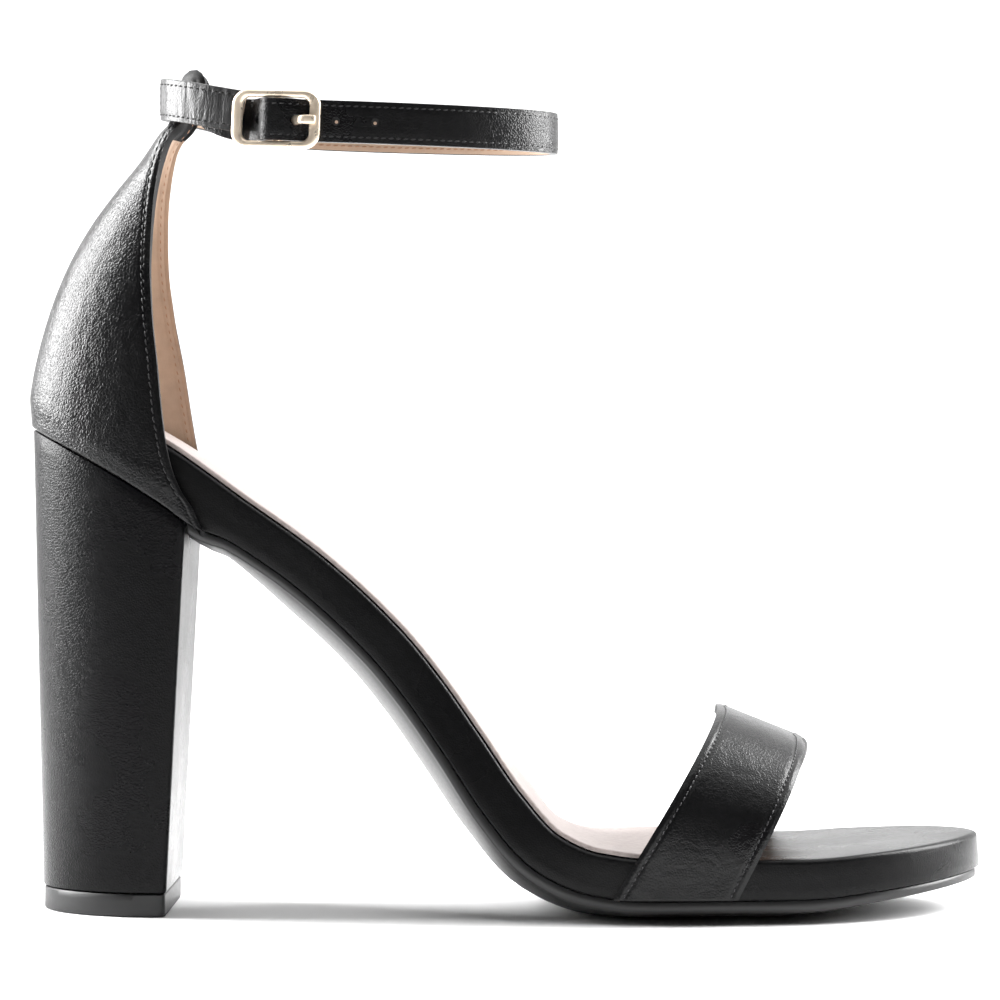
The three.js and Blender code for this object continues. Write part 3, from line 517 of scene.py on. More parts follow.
def rubber(name, colour, roughness):
    """Moulded rubber or waxed thread: a fine matt skin."""
    finish, nodes, links, shader = new_finish(name, colour, roughness)
    place = object_coords(nodes, links)
    skin = add_node(nodes, "ShaderNodeTexNoise", {"Scale": 1400, "Detail": 4})
    bump = add_node(nodes, "ShaderNodeBump", {"Strength": 0.25, "Distance": 0.00006})
    tone = add_node(nodes, "ShaderNodeMapRange",
                    {"To Min": roughness - 0.08, "To Max": roughness + 0.1})
    ramp = nodes.new("ShaderNodeValToRGB")
    ramp.color_ramp.elements[0].color = (*(c * 0.8 for c in colour), 1)
    ramp.color_ramp.elements[1].color = (*(c * 1.2 for c in colour), 1)
    links.new(place, skin.inputs["Vector"])
    links.new(skin.outputs["Fac"], bump.inputs["Height"])
    links.new(skin.outputs["Fac"], tone.inputs["Value"])
    links.new(skin.outputs["Fac"], ramp.inputs["Fac"])
    links.new(ramp.outputs["Color"], shader.inputs["Base Color"])
    links.new(tone.outputs["Result"], shader.inputs["Roughness"])
    links.new(bump.outputs["Normal"], shader.inputs["Normal"])
    return finish


board_leather = leather("board_leather", (0.005, 0.005, 0.0053), 0.27, cells=1700, grain=0.3,
                        gloss=0.14)
counter_leather = leather("counter_leather", BLACK, 0.27, cells=1250, grain=0.6,
                          wrinkles={"stretch": (1, 1, 0.55), "scale": 230, "strength": 0.35})
band_leather = leather("toe_band_leather", BLACK, 0.28, grain=0.45,
                       wrinkles={"stretch": (1, 0.45, 1), "scale": 260, "strength": 0.3})
heel_leather = leather("heel_leather", BLACK, 0.27, gloss=0.13)
strap_leather = leather("strap_leather", BLACK, 0.28, grain=0.6)
# Buckle strap leather: its base colour is lighter than BLACK, partly for wear and partly as a
# painted sheen for the strap's grey gleam.
worn_and_sheen_leather = leather("worn_and_sheen_strap_leather", (0.008, 0.008, 0.0085), 0.36, grain=0.35,
                       wrinkles={"stretch": (1, 1, 0.3), "scale": 330, "strength": 0.5}, gloss=0.5)
cut_edge = leather("cut_edge", BLACK, 0.5, cells=2600, grain=0.2, gloss=0.2)
hole_edge = leather("hole_edge", (0.004, 0.004, 0.004), 0.8, cells=2600, grain=0.3)
tan_suede = suede("tan_suede_lining", (0.41, 0.295, 0.215))
sock_leather = leather("sock_leather", (0.32, 0.275, 0.262), 0.5, cells=2200, grain=0.12)
gold = plated("pale_gold", (0.90, 0.76, 0.60), 0.27)
sole_rubber = rubber("sole_rubber", (0.015, 0.015, 0.0155), 0.4)
cap_rubber = rubber("heel_cap_rubber", (0.01, 0.01, 0.0105), 0.45)
thread = rubber("black_thread", (0.012, 0.012, 0.013), 0.35)
# Glossy toe band thread; its colour, lighter than the black thread, is a painted highlight on the
# stitch dashes.
waxed_thread_painted_highlight = rubber("waxed_thread_painted_highlight", (0.035, 0.035, 0.037), 0.25)
dull_thread = rubber("dull_thread", (0.003, 0.003, 0.003), 0.7)
lining_thread = rubber("tan_thread", (0.30, 0.16, 0.09), 0.6)


# Footbed slabs

def slab_outline(share, begin, end, inset):
    """A point of the sole's outline: the outer side to the toe, then the inner side back."""
    def on_edge(s):
        s %= 1.0
        t = 2 * s if s < 0.5 else 2 * (1 - s)
        x = mix(begin, end, (1 - math.cos(math.pi * t)) / 2)
        return Vector((x, outer_edge(x) if s < 0.5 else inner_edge(x)))
    spot = on_edge(share)
    way = (on_edge(share + 0.0006) - on_edge(share - 0.0006)).normalized()
    return spot + Vector((-way.y, way.x)) * inset


TOP_SHARES = [0, 0.25, 0.5, 0.75, 0.92]


def wrapped_slab(name, begin, end, around, layers, material, bulge=None, stop=None, end_room=24,
                 front_room=None):
    """A closed slab over the footbed. Layers (inset, height) run from its top edge down.

    Its faces run from the edge to a spine that stops short of each end by its room.
    """
    last_top = len(TOP_SHARES)
    rows = 2 * last_top + len(layers) - 1

    def place(i, j):
        if j < last_top:
            share, layer = TOP_SHARES[j], layers[0]
        elif j < last_top + len(layers):
            share, layer = 1, layers[j - last_top]
        else:
            share, layer = TOP_SHARES[rows - j], layers[-1]
        inset, height = layer
        edge = slab_outline(i / around, begin, end, inset)
        spine_x = clamp(edge.x, begin + end_room, end - (front_room or end_room))
        spine = Vector((spine_x, (outer_edge(spine_x) + inner_edge(spine_x)) / 2))
        spot = spine.lerp(edge, share)
        lift = height(spot.x)
        if bulge and j >= last_top + len(layers):
            lift += bulge(spot.x) * (1 - share ** 2.4)
        point = over_footbed(spot.x, spot.y, lift)
        point.z = max(point.z, 0)
        if stop is not None:
            point.x = max(point.x, stop)
        return point

    piece = formed_grid(name, around, rows, place, [material])
    weld(piece)
    smooth(piece, 50)
    return piece


def rounded(radius, steps):
    """Layers (inset, drop) round a quarter turn at a slab's top edge."""
    angles = [math.radians(90 * k / steps) for k in range(steps + 1)]
    return [(radius * (1 - math.sin(angle)), -radius * (1 - math.cos(angle))) for angle in angles]


def platform():
    radius = 1.2
    layers = [(inset, lambda x, h=h: h) for inset, h in rounded(radius, 5)]
    layers += [(0, lambda x, t=t: mix(-radius, -board_at(x), t)) for t in (0.35, 0.7)]
    layers += [(inset, lambda x, h=h: -board_at(x) + h)
               for inset, h in [(0, 0.4), (0.12, 0.12), (0.4, 0)]]
    piece = wrapped_slab("platform_board", SEAT_BACK, TOE_TIP, 360, layers, board_leather)
    finish_piece(piece, "upper_leather", "platform")


def sock():
    thickness, margin, length = 1.3, 0.9, 160
    layers = [(inset + margin, lambda x, h=h: thickness + h) for inset, h in rounded(0.5, 3)]
    layers += [(margin, lambda x: GAP)]
    piece = wrapped_slab("sock", SEAT_BACK + 0.05, SEAT_BACK + length, 300, layers, sock_leather,
                         front_room=0.6)
    finish_piece(piece, "sock_lining", "insole")


def outsole():
    seam, toe_margin = 0.12, 0.9

    def top(x):
        return -board_at(x) - seam
    layers = [(0.9, top), (0.7, lambda x: top(x) - 0.2),
              (0.7, lambda x: top(x) - 0.5 * edge_at(x)),
              (0.8, lambda x: top(x) - edge_at(x) + 0.4),
              (1.1, lambda x: top(x) - edge_at(x) + 0.1),
              (1.6, lambda x: top(x) - edge_at(x)),
              (2.4, lambda x: top(x) - edge_at(x) - 0.1 * dome_at(x))]
    breast = HEEL_BACK + HEEL_TOP_LENGTH
    piece = wrapped_slab("outsole_sheet", breast - 3, TOE_TIP - toe_margin, 420, layers, sole_rubber,
                         bulge=lambda x: -0.9 * dome_at(x), stop=breast + 0.35, end_room=18)
    finish_piece(piece, "sole_rubber", "outsole")


# Heel

HEEL_ROUND_SHARE = 0.68
HEEL_CORNER_SHARE = 0.82


def heel_outline(share, level, grow):
    """A point of the heel's plan at a level: round at the back, flat at the breast."""
    down = 1 - level
    back_x = mix(HEEL_BACK, HEEL_BACK + HEEL_FOOT_BACK, down) - grow
    length = mix(HEEL_TOP_LENGTH, HEEL_FOOT_LENGTH, down) + 2 * grow
    half = mix(HEEL_TOP_HALF, HEEL_FOOT_HALF, down) + grow
    side = -1 if share < 0.5 else 1
    t = 2 * share if share < 0.5 else 2 * (1 - share)
    if t < HEEL_ROUND_SHARE:
        angle = math.pi / 2 * t / HEEL_ROUND_SHARE
        x = back_x + (length - HEEL_CORNER) * (1 - math.cos(angle))
        y = half * math.sin(angle) ** 1.2
    elif t < HEEL_CORNER_SHARE:
        turn = math.pi / 2 * (t - HEEL_ROUND_SHARE) / (HEEL_CORNER_SHARE - HEEL_ROUND_SHARE)
        x = back_x + length - HEEL_CORNER * (1 - math.sin(turn))
        y = half - HEEL_CORNER * (1 - math.cos(turn))
    else:
        x = back_x + length
        y = (half - HEEL_CORNER) * (1 - t) / (1 - HEEL_CORNER_SHARE)
    return Vector((x, side * y))


def heel_middle(level):
    down = 1 - level
    back_x = mix(HEEL_BACK, HEEL_BACK + HEEL_FOOT_BACK, down)
    return back_x + 0.6 * mix(HEEL_TOP_LENGTH, HEEL_FOOT_LENGTH, down)


def heel_form(name, stations, material):
    """A closed form through heel outlines. Stations: level, grow, share from the middle, height."""
    around = 180

    def place(i, j):
        level, grow, share, height = stations[j]
        edge = heel_outline(i / around, level, grow)
        spot = Vector((heel_middle(level), 0)).lerp(edge, share)
        return Vector((spot.x, spot.y, height(spot.x, spot.y)))
    piece = formed_grid(name, around, len(stations) - 1, place, [material])
    weld(piece)
    smooth(piece, 40)
    return piece


def heel_block():
    foot = HEEL_CAP_HEIGHT + GAP

    def height_at(level, lift=0.0):
        return lambda x, y: mix(foot, under_board(x, y, GAP), level) + lift
    stations = [(0, -0.5, share, height_at(0)) for share in (0, 0.5, 1)]
    stations += [(0, -0.15, 1, height_at(0, 0.15)), (0, 0, 1, height_at(0, 0.5))]
    steps = 26
    stations += [(k / steps, 0, 1, height_at(k / steps)) for k in range(1, steps)]
    stations += [(1, 0, 1, height_at(1, -0.5)), (1, -0.15, 1, height_at(1, -0.15))]
    stations += [(1, -0.5, share, height_at(1)) for share in (1, 0.66, 0.33, 0)]
    piece = heel_form("heel_wrap", stations, heel_leather)
    finish_piece(piece, "upper_leather", "heel_block")


def heel_cap():
    inset = -HEEL_CAP_INSET

    def flat(z):
        return lambda x, y: z
    stations = [(0, inset - 0.4, share, flat(0)) for share in (0, 0.5, 1)]
    stations += [(0, inset - 0.1, 1, flat(0.12)), (0, inset, 1, flat(0.45))]
    stations += [(0, inset, 1, flat(z)) for z in (2, 3.5, HEEL_CAP_HEIGHT - 0.25)]
    stations += [(0, inset - 0.25, share, flat(HEEL_CAP_HEIGHT)) for share in (1, 0.5, 0)]
    piece = heel_form("heel_top_piece", stations, cap_rubber)
    finish_piece(piece, "sole_rubber", "heel_cap")


# Counter

def counter_point(around, row):
    start = BACK + counter_back_x(row)
    side = -1 if around < 0 else 1
    forward = counter_lead(row) if around > 0 else 0
    reach = BACK + counter_front_x(row) + forward - start
    depth = max(counter_depth(row), reach + 1)
    sweep = math.acos(1 - reach / depth) * abs(around)
    x = start + depth * (1 - math.cos(sweep))
    y = side * counter_half(row) * math.sin(sweep) ** 1.2
    z = COUNTER_FOOT + mix(counter_back_z(row), counter_front_z(row), (x - start) / reach)
    if row < 0.6:
        z = mix(under_board(x, y, 0), z, smooth_step(0, 0.6, row))
    return Vector((x, y, z))


LAST_ROW = len(COUNTER) - 1


def counter_surface(u, v):
    return counter_point(mix(-1, 1, u), v * LAST_ROW)


def walk_in(surface, edge, v, distance, direction):
    """The share across a sheet that lies a distance in from its edge."""
    u = edge
    spot = surface(u, v)
    gone = 0
    step = 0.002
    while gone < distance and 0 <= u + direction * step <= 1:
        u += direction * step
        new = surface(u, v)
        gone += (new - spot).length
        spot = new
    return u


def lined_sheet(piece):
    """Gives a sheet its thickness, with the lining inside and a soft cut edge."""
    apply_modifier(piece, 'SOLIDIFY', thickness=WALL * MM, offset=-1, use_rim=True,
                   material_offset=1, material_offset_rim=2)


def soften_edges(piece):
    apply_modifier(piece, 'BEVEL', width=0.35 * MM, segments=2, limit_method='ANGLE',
                   angle_limit=math.radians(60))
    smooth(piece, 50)


COUNTER_ROWS = 118
COUNTER_SEAM = 2.2
NECK_LINING_TOP = 179.5
NECK_LEATHER_TOP = 182.5


def counter():
    columns, rows, near = 150, COUNTER_ROWS, 0.02
    speeds = []
    for j in range(rows + 1):
        v = j / rows
        spans = [counter_surface(edge, v) - counter_surface(abs(edge - near), v) for edge in (0, 1)]
        speeds.append([span.length / near for span in spans])

    def place(i, j):
        t = 2 * i / columns - 1
        u = 0.5 + 0.5 * math.copysign(1 - (1 - abs(t)) ** 1.5, t)
        v = j / rows
        from_edge = min(u, 1 - u) * speeds[j][0 if u < 0.5 else 1]
        dent = seam_relief(from_edge, COUNTER_SEAM) * (1 - smooth_step(0.86, 0.93, v))
        if j in (0, rows):
            dent = 0
        return counter_surface(u, v) + surface_normal(counter_surface, u, v) * dent
    piece = formed_grid("heel_counter", columns, rows, place,
                        [counter_leather, tan_suede, cut_edge])
    face_out(piece, lambda centre: Vector((centre.x + 0.085, centre.y, 0)))
    lined_sheet(piece)
    outside, inside, edge_finish = 0, 1, 2
    for face in piece.data.polygons:
        x, z = face.center.x / MM - SHIFT_X, face.center.z / MM
        behind_board = z < BALL_STACK + rise_at(x) + 0.5 and x > BACK + 25
        if face.material_index == inside and (z > NECK_LINING_TOP or behind_board):
            face.material_index = edge_finish
        if face.material_index == outside and z > NECK_LEATHER_TOP:
            face.material_index = edge_finish
    soften_edges(piece)
    finish_piece(piece, "upper_leather", "counter")
    for name, edge, direction in (("counter_stitches_outer", 0, 1),
                                  ("counter_stitches_inner", 1, -1)):
        path = []
        for k in range(6, 105):
            v = k / COUNTER_ROWS
            u = walk_in(counter_surface, edge, v, COUNTER_SEAM, direction)
            out = surface_normal(counter_surface, u, v)
            path.append((counter_surface(u, v) - out * 0.12, out))
        sew(name, path, 2.0, 1.6, 0.42, thread)
        above_board = path[14:]
        lining = [(spot - out * (WALL - 0.12), -out) for spot, out in above_board]
        sew(name.replace("counter", "counter_lining"), lining, 2.0, 1.4, 0.36, lining_thread)


# Toe strap

# Back and front edge: along at the foot, along at the crown, share of the height
TOE_EDGES = [(0.608, 0.7225, 1), (0.7345, 0.8135, 0.805)]
SIDE_SHARE = 0.1
BAND_SEAM = 2.1
SIDE_RISE = (BALL_STACK - TOE_STRAP_FOOT) / TOE_STRAP_HEIGHT


def toe_strap_surface(u, v):
    foot_x = mix(along_to_x(TOE_EDGES[0][0]), along_to_x(TOE_EDGES[1][0]), v)
    crown_x = mix(along_to_x(TOE_EDGES[0][1]), along_to_x(TOE_EDGES[1][1]), v)
    rise = mix(TOE_EDGES[0][2], TOE_EDGES[1][2], v) * TOE_STRAP_HEIGHT
    arch = clamp((u - SIDE_SHARE) / (1 - 2 * SIDE_SHARE))
    angle = math.pi * arch
    if u < SIDE_SHARE or u > 1 - SIDE_SHARE:
        lift = SIDE_RISE * min(u, 1 - u) / SIDE_SHARE
    else:
        lift = SIDE_RISE + (1 - SIDE_RISE) * max(math.sin(angle), 0) ** 0.85
    reach = squared(math.cos(angle), 0.75)
    across = (1 - reach) / 2
    x = mix(foot_x, crown_x, lift) + TOE_STRAP_SKEW * smooth_step(0.5, 1, across)
    left = min(outer_edge(x), outer_edge(x + TOE_STRAP_LEAN)) - GAP - WALL
    right = max(inner_edge(x), inner_edge(x + TOE_STRAP_LEAN)) + GAP + WALL
    return Vector((x, mix(left, right, across), TOE_STRAP_FOOT + rise * lift))


def toe_strap():
    columns, rows = 190, 72
    widths = []
    for i in range(columns + 1):
        u = i / columns
        marks = [toe_strap_surface(u, k / 12) for k in range(13)]
        widths.append(sum((b - a).length for a, b in zip(marks, marks[1:])))

    def place(i, j):
        u, v = i / columns, j / rows
        spot = toe_strap_surface(u, v)
        from_edge = widths[i] * min(v, 1 - v)
        dent = 1.3 * seam_relief(from_edge, BAND_SEAM)
        return spot + surface_normal(toe_strap_surface, u, v) * dent
    piece = formed_grid("toe_band", columns, rows, place, [band_leather, tan_suede, cut_edge])
    face_out(piece, lambda centre: Vector((0, centre.y, 0.02)))
    lined_sheet(piece)
    soften_edges(piece)
    finish_piece(piece, "upper_leather", "toe_strap")
    for name, edge, direction in (("toe_band_stitches_back", 0, 1),
                                  ("toe_band_stitches_front", 1, -1)):
        path = []
        for k in range(1, columns):
            u = k / columns
            v = edge + direction * BAND_SEAM / widths[k]
            out = surface_normal(toe_strap_surface, u, v)
            path.append((toe_strap_surface(u, v) - out * 0.14, out))
        sew(name, path, 1.5, 1.15, 0.38, waxed_thread_painted_highlight)


# Ankle strap loop

def strap_top(x, y, ramp):
    """The height of the strap's top edge: it tilts with the ankle and climbs towards the neck."""
    back_share = (LOOP_CENTRE + LOOP_HALF_LONG - x) / (2 * LOOP_HALF_LONG)
    inner_share = (y + LOOP_HALF_WIDE) / (2 * LOOP_HALF_WIDE)
    past = BACK + 2 * LOOP_BACK - x
    climb = (past + math.hypot(past, 4)) / 2 / LOOP_BACK
    return (LOOP_FRONT_TOP + LOOP_BACK_RISE * back_share + LOOP_INNER_RISE * inner_share
            + LOOP_CLIMB * climb * ramp)


def loop_plan(angle):
    return (LOOP_CENTRE - LOOP_LONG * math.cos(angle), -LOOP_WIDE * math.sin(angle))


LOOP_STEPS = 720
loop_runs = [0.0]
for step in range(1, LOOP_STEPS + 1):
    (ax, ay), (bx, by) = (loop_plan(2 * math.pi * k / LOOP_STEPS) for k in (step - 1, step))
    loop_runs.append(loop_runs[-1] + math.hypot(bx - ax, by - ay))
LOOP_LENGTH = loop_runs[-1]


def loop_angle(run):
    run %= LOOP_LENGTH
    low, high = 0, LOOP_STEPS
    while high - low > 1:
        middle = (low + high) // 2
        if loop_runs[middle] <= run:
            low = middle
        else:
            high = middle
    t = (run - loop_runs[low]) / (loop_runs[high] - loop_runs[low])
    return 2 * math.pi * (low + t) / LOOP_STEPS


def loop_centre_point(run, ramp):
    x, y = loop_plan(loop_angle(run))
    return Vector((x, y, strap_top(x, y, ramp) - STRAP_HALF))


def on_loop(run, rise, off, ramp=0.0):
    """A point by the strap: along the loop, up across the strap, and off its outer side."""
    tangent = (loop_centre_point(run + 0.2, ramp) - loop_centre_point(run - 0.2, ramp)).normalized()
    up = (Vector((0, 0, 1)) - tangent * tangent.z).normalized()
    return loop_centre_point(run, ramp) + up * rise + tangent.cross(up) * off


def long_strap_off(run):
    if run > BUCKLE_RUN:
        return OVER_BAR_OFF * (1 - smooth_step(BUCKLE_RUN + 1,
                                               RIGHT_BAR_RUN - BAR_WIDTH / 2 - GAP, run))
    return mix(LONG_STRAP_UNDER, OVER_BAR_OFF,
               smooth_step(LEFT_BAR_RUN + BAR_WIDTH / 2 + GAP, BUCKLE_RUN - 1, run))


def long_strap_ramp(run):
    return 1 if run > LOOP_LENGTH / 2 else 1 - smooth_step(TAIL_RUN, LEFT_BAR_RUN, run)


def band_section(half):
    """Points round a strap: rise across it, and offset through it. The lining side comes last."""
    soft = min(0.35, half * 0.5)
    thick = WALL / 2

    def corner(up, out, degrees):
        angle = math.radians(degrees)
        return (up * (half - soft + soft * math.sin(angle)),
                out * (thick - soft + soft * math.cos(angle)))
    ring = []
    count = 18
    for k in range(count + 1):
        rise = mix(-half + soft, half - soft, k / count)
        dip = seam_relief(half - abs(rise), 1.3) * 0.6 + 0.1 if half > 4 else 0
        ring.append((rise, thick + min(dip, 0.1)))
    ring += [corner(1, 1, 30), corner(1, 1, 60), (half, thick - soft), (half, 0),
             (half, -thick + soft), corner(1, -1, 60), corner(1, -1, 30)]
    ring += [(mix(half - soft, -half + soft, k / 8), -thick) for k in range(9)]
    ring += [corner(-1, -1, 30), corner(-1, -1, 60), (-half, -thick + soft), (-half, 0),
             (-half, thick - soft), corner(-1, 1, 60), corner(-1, 1, 30)]
    return ring


SECTION_POINTS = len(band_section(STRAP_HALF))
LINING_FROM, LINING_TO = 25, 35


def loop_band(name, stations, materials):
    """A strap along the loop. Stations: run, offset, half width, ramp."""
    last = len(stations) - 1
    sections = {}

    def place(i, j):
        k = min(max(j - 1, 0), last)
        run, off, half, ramp = stations[k]
        before, after = stations[max(k - 1, 0)], stations[min(k + 1, last)]
        turn = math.atan2(after[1] - before[1], after[0] - before[0])
        if half not in sections:
            sections[half] = band_section(half)
        rise, depth = sections[half][i % SECTION_POINTS]
        if j in (0, last + 2):
            rise, depth = 0, 0
        return on_loop(run - depth * math.sin(turn), rise, off + depth * math.cos(turn), ramp)

    def choose(i, j):
        return 1 if LINING_FROM <= i < LINING_TO else 0
    piece = formed_grid(name, SECTION_POINTS, last + 2, place, materials, choose)
    weld(piece)
    return piece


def punch(piece, run, radius, inner_radius):
    """A round hole through the strap, narrower at the lining."""
    centre = on_loop(run, 0, long_strap_off(run))
    outward = (on_loop(run, 0, 3) - on_loop(run, 0, 0)).normalized()
    deselect_all()
    bpy.ops.mesh.primitive_cone_add(vertices=28, radius1=mix(radius, inner_radius, 5 / 3) * MM,
                                    radius2=mix(inner_radius, radius, 5 / 3) * MM, depth=0.0042,
                                    location=to_scene(centre),
                                    rotation=outward.to_track_quat('Z', 'Y').to_euler())
    awl = bpy.context.object
    awl.data.materials.append(hole_edge)
    apply_modifier(piece, 'BOOLEAN', operation='DIFFERENCE', object=awl, solver='EXACT')
    bpy.data.objects.remove(awl)


def strap_stitches(name, start, stop, rise, off_at, ramp_at, side=1, finish=thread, width=0.36):
    """Stitches along a strap on its outer side, or on its lining where side is -1."""
    path = []
    count = max(8, int((stop - start) / 0.8))
    for k in range(count + 1):
        run = mix(start, stop, k / count)
        off = off_at(run) + side * WALL / 2
        spot = on_loop(run, rise, off, ramp_at(run))
        out = (spot - on_loop(run, rise, off - side, ramp_at(run))).normalized()
        path.append((spot - out * 0.05, out))
    sew(name, path, 1.7, 1.3, width, finish)


def ankle_strap():
    stations = []
    for k in range(13):
        angle = math.pi / 2 * (0.06 + 0.94 * k / 12)
        stations.append((TAIL_RUN + STRAP_HALF * (1 - math.cos(angle)),
                         STRAP_HALF * math.sin(angle)))
    first = stations[-1][0]
    middle = RIGHT_BAR_RUN + 3
    stations += [(mix(first, middle, k / 60), STRAP_HALF) for k in range(1, 61)]
    stop = LOOP_LENGTH - 0.6
    stations += [(mix(middle, stop, k / 150), STRAP_HALF) for k in range(1, 151)]
    full = [(run, long_strap_off(run), half, long_strap_ramp(run)) for run, half in stations]
    piece = loop_band("ankle_strap_long", full, [strap_leather, tan_suede, hole_edge])
    for step in (-1, 1, 2):
        punch(piece, PRONG_RUN + step * HOLE_SPACING, HOLE_RADIUS, 0.3)
    punch(piece, PRONG_RUN, PRONG_HOLE_RADIUS, 1.2)
    smooth(piece, 40)
    finish_piece(piece, "upper_leather", "ankle_strap")
    for name, rise in (("ankle_strap_stitches_top", STRAP_SEAM_RISE),
                       ("ankle_strap_stitches_bottom", -STRAP_SEAM_RISE)):
        strap_stitches(name, 31.5, LOOP_LENGTH - 2, rise, long_strap_off, long_strap_ramp)
        strap_stitches(name + "_lining", 60, LOOP_LENGTH - 2, rise, long_strap_off, long_strap_ramp,
                       -1, lining_thread)


def buckle_strap():
    stations = [(mix(0.6, LEFT_BAR_RUN + 0.3, k / 60), 0, STRAP_HALF, 1) for k in range(61)]
    piece = loop_band("ankle_strap_short", stations, [worn_and_sheen_leather, tan_suede])
    smooth(piece, 40)
    finish_piece(piece, "upper_leather", "buckle_strap")
    for name, rise in (("short_strap_stitches_top", STRAP_SEAM_RISE),
                       ("short_strap_stitches_bottom", -STRAP_SEAM_RISE)):
        strap_stitches(name, 2.2, LEFT_BAR_RUN - 1, rise, lambda run: 0, lambda run: 1, 1,
                       dull_thread, 0.45)
    end = []
    end_run = 1.9
    for k in range(15):
        rise = mix(-3.4, 3.4, k / 14)
        spot = on_loop(end_run, rise, WALL / 2, 1)
        out = (spot - on_loop(end_run, rise, -WALL / 2, 1)).normalized()
        end.append((spot - out * 0.05, out))
    sew("short_strap_stitches_end", end, 1.7, 1.3, 0.45, dull_thread)


# Buckle

def buckle_path(share):
    """A point round the buckle's frame and the way outwards from its middle there."""
    half_long = FRAME_HALF_LONG - BAR_WIDTH / 2
    half_high = FRAME_HALF_HIGH - RAIL_WIDTH / 2
    corner = FRAME_CORNER - BAR_WIDTH / 2
    straight = [2 * (half_high - corner), 2 * (half_long - corner)]
    turn = math.pi / 2 * corner
    total = 2 * sum(straight) + 4 * turn
    run = (share % 1.0) * total
    place = Vector((half_long, -(half_high - corner)))
    heading = 90
    for part in range(4):
        length = straight[part % 2]
        way = Vector((math.cos(math.radians(heading)), math.sin(math.radians(heading))))
        if run <= length:
            return place + way * run, heading - 90
        run -= length
        place = place + way * length
        centre = place + Vector((-way.y, way.x)) * corner
        if run <= turn:
            angle = math.radians(heading - 90) + run / corner
            return centre + Vector((math.cos(angle), math.sin(angle))) * corner, math.degrees(angle)
        run -= turn
        heading += 90
        angle = math.radians(heading - 90)
        place = centre + Vector((math.cos(angle), math.sin(angle))) * corner
    return place, heading - 90


def buckle_frame():
    around, sides = 168, 24

    def place(i, j):
        centre, degrees = buckle_path(i / around)
        angle = math.radians(degrees)
        width = mix(RAIL_WIDTH, BAR_WIDTH, abs(math.cos(angle)))
        turn = 2 * math.pi * j / sides
        across = squared(math.cos(turn), 0.88) * width / 2
        through = squared(math.sin(turn), 0.88) * FRAME_HALF_THICK
        return on_loop(BUCKLE_RUN + centre.x + across * math.cos(angle),
                       centre.y + across * math.sin(angle), FRAME_OFF + through)
    piece = formed_grid("buckle_ring", around, sides, place, [gold])
    weld(piece)
    smooth(piece, 60)

    def bar_place(i, j):
        turn = 2 * math.pi * i / 20
        radius = 0 if j in (0, 9) else BAR_RADIUS
        rise = mix(-BAR_HALF_HIGH, BAR_HALF_HIGH, clamp((j - 1) / 7))
        return on_loop(BUCKLE_RUN + radius * math.cos(turn), rise, BAR_OFF + radius * math.sin(turn))
    bar = formed_grid("buckle_bar", 20, 9, bar_place, [gold])
    weld(bar)
    smooth(bar, 60)
    finish_piece(piece, "buckle_metal", "buckle_frame")
    finish_piece(bar, "buckle_metal")


def prong_route():
    """The prong from its hook round the bar, through the strap, to its rest on the frame."""
    hook = BAR_RADIUS + GAP + PRONG_HALF_THICK
    route = []
    for degrees in (195, 225, 255, 285, 315):
        angle = math.radians(degrees)
        route.append(Vector((hook * math.cos(angle), BAR_OFF + hook * math.sin(angle))))
    rest = FRAME_OFF + FRAME_HALF_THICK + GAP + PRONG_HALF_THICK
    tip = RIGHT_BAR_RUN - BUCKLE_RUN
    off = long_strap_off(PRONG_RUN)
    route += [Vector((3.0, off - 1.1)), Vector((4.9, off + 0.9)),
              Vector((mix(4.6, tip, 0.5), rest - 0.35)), Vector((tip, rest))]
    return route


def prong():
    route = prong_route()
    marks = [0.0]
    for a, b in zip(route, route[1:]):
        marks.append(marks[-1] + (b - a).length ** 0.5)
    x_at = curve_through(marks, [p.x for p in route])
    y_at = curve_through(marks, [p.y for p in route])
    steps, sides = 64, 20
    end_sizes, root_back, tip_on = [0, 0.62, 0.9], [-0.25, -0.2, -0.08], [0.5, 0.42, 0.2]

    def place(i, j):
        t = clamp((j - 3) / (steps - 6)) * marks[-1]
        d = 0.02
        way = Vector((x_at(t + d) - x_at(t - d), y_at(t + d) - y_at(t - d))).normalized()
        size, over = 1, 0
        if j < 3:
            size, over = end_sizes[j], root_back[j]
        elif j > steps - 3:
            size, over = end_sizes[steps - j], tip_on[steps - j]
        turn = 2 * math.pi * i / sides
        rise = squared(math.cos(turn), 0.75) * PRONG_HALF_WIDE * size
        off = squared(math.sin(turn), 0.75) * PRONG_HALF_THICK * size
        spot = Vector((x_at(t), y_at(t))) + way * over + Vector((-way.y, way.x)) * off
        return on_loop(BUCKLE_RUN + spot.x, rise, spot.y)
    piece = formed_grid("buckle_tongue", sides, steps, place, [gold])
    weld(piece)
    smooth(piece, 60)
    finish_piece(piece, "buckle_metal", "buckle_prong")


# Studio

LIGHTS = [  # name, place, target, size, watts
    ("overhead", (0.1, 0.35, 1.5), (0, 0.25, 0), (2.4, 1.8), 29),
    ("left_box", (-0.62, 0.16, 0.46), (0, 0.16, 0.4), (0.38, 0.68), 19),
    ("right_box", (0.62, 0.16, 0.46), (0, 0.16, 0.4), (0.38, 0.68), 17),
    ("front_fill", (0.0, -1.7, 0.55), (0, 0, 0.1), (1.3, 0.8), 0.25),
    ("backdrop_left", (-1.2, 0.7, 1.4), (-0.4, 1.8, 0.6), (0.9, 0.9), 18),
    ("backdrop_right", (1.2, 0.7, 1.4), (0.4, 1.8, 0.6), (0.9, 0.9), 18),
]


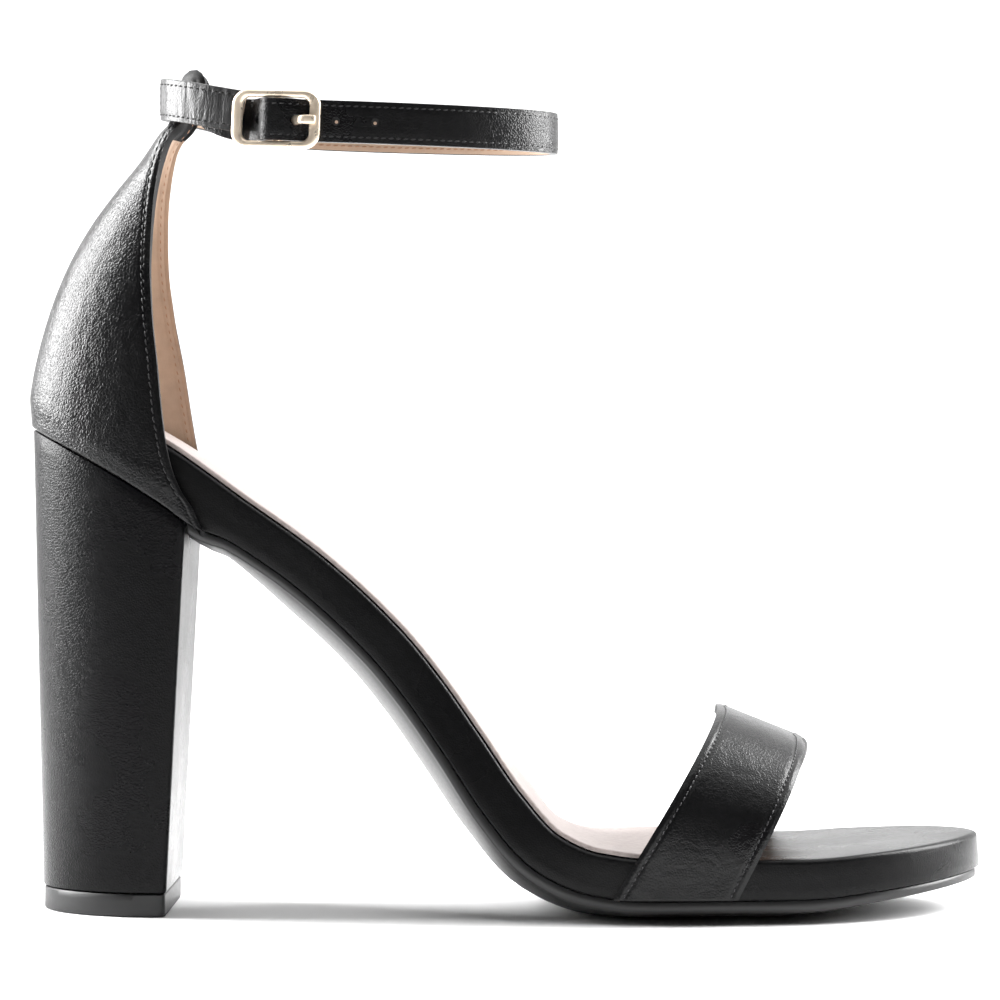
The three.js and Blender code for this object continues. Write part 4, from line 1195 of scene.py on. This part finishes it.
def cove():
    """Pale floor that turns up into a backdrop, in metres."""
    width, length, floor, radius, front, under = 9, 8, 4.2, 0.8, -3.2, 0.00015
    bend = math.pi / 2 * radius
    deselect_all()
    bpy.ops.mesh.primitive_grid_add(x_subdivisions=2, y_subdivisions=60, size=1)
    sheet = bpy.context.object
    sheet.name = "studio_cove"
    for vertex in sheet.data.vertices:
        run = (vertex.co.y + 0.5) * length
        if run < floor:
            y, z = front + run, 0
        elif run < floor + bend:
            angle = (run - floor) / radius
            y, z = front + floor + radius * math.sin(angle), radius * (1 - math.cos(angle))
        else:
            y, z = front + floor + radius, radius + run - floor - bend
        vertex.co = (vertex.co.x * width, y, z - under)
    finish, nodes, links, shader = new_finish("studio_paper", (0.86, 0.86, 0.86), 0.95)
    shader.inputs["Specular IOR Level"].default_value = 0.1
    sheet.data.materials.append(finish)
    smooth(sheet, 80)


def lights():
    world = bpy.data.worlds.new("studio")
    bpy.context.scene.world = world
    world.use_nodes = True
    background = world.node_tree.nodes["Background"]
    background.inputs["Color"].default_value = (1, 1, 1, 1)
    background.inputs["Strength"].default_value = 0.06
    for name, place, target, size, watts in LIGHTS:
        light = bpy.data.lights.new(name, 'AREA')
        light.shape = 'RECTANGLE'
        light.size, light.size_y = size
        light.energy = watts
        lamp = bpy.data.objects.new(name, light)
        bpy.context.scene.collection.objects.link(lamp)
        lamp.location = place
        lamp.rotation_euler = (Vector(target) - Vector(place)).to_track_quat('-Z', 'Y').to_euler()


def photo_camera():
    camera_data = bpy.data.cameras.new("camera")
    camera = bpy.data.objects.new("camera", camera_data)
    bpy.context.scene.collection.objects.link(camera)
    camera.location = (-0.00117, -0.9, 0.0955)
    camera.rotation_euler = (math.radians(90), 0, 0)
    sensor, focal_pixels, photo_pixels = 36, 3852, 1000
    camera_data.sensor_width = sensor
    camera_data.lens = focal_pixels / photo_pixels * sensor
    camera_data.shift_y = -0.002
    camera_data.clip_start = 0.05
    bpy.context.scene.camera = camera
    bpy.context.scene.view_settings.view_transform = 'Standard'


cove()
lights()
photo_camera()
platform()
sock()
outsole()
heel_block()
heel_cap()
counter()
toe_strap()
ankle_strap()
buckle_strap()
buckle_frame()
prong()
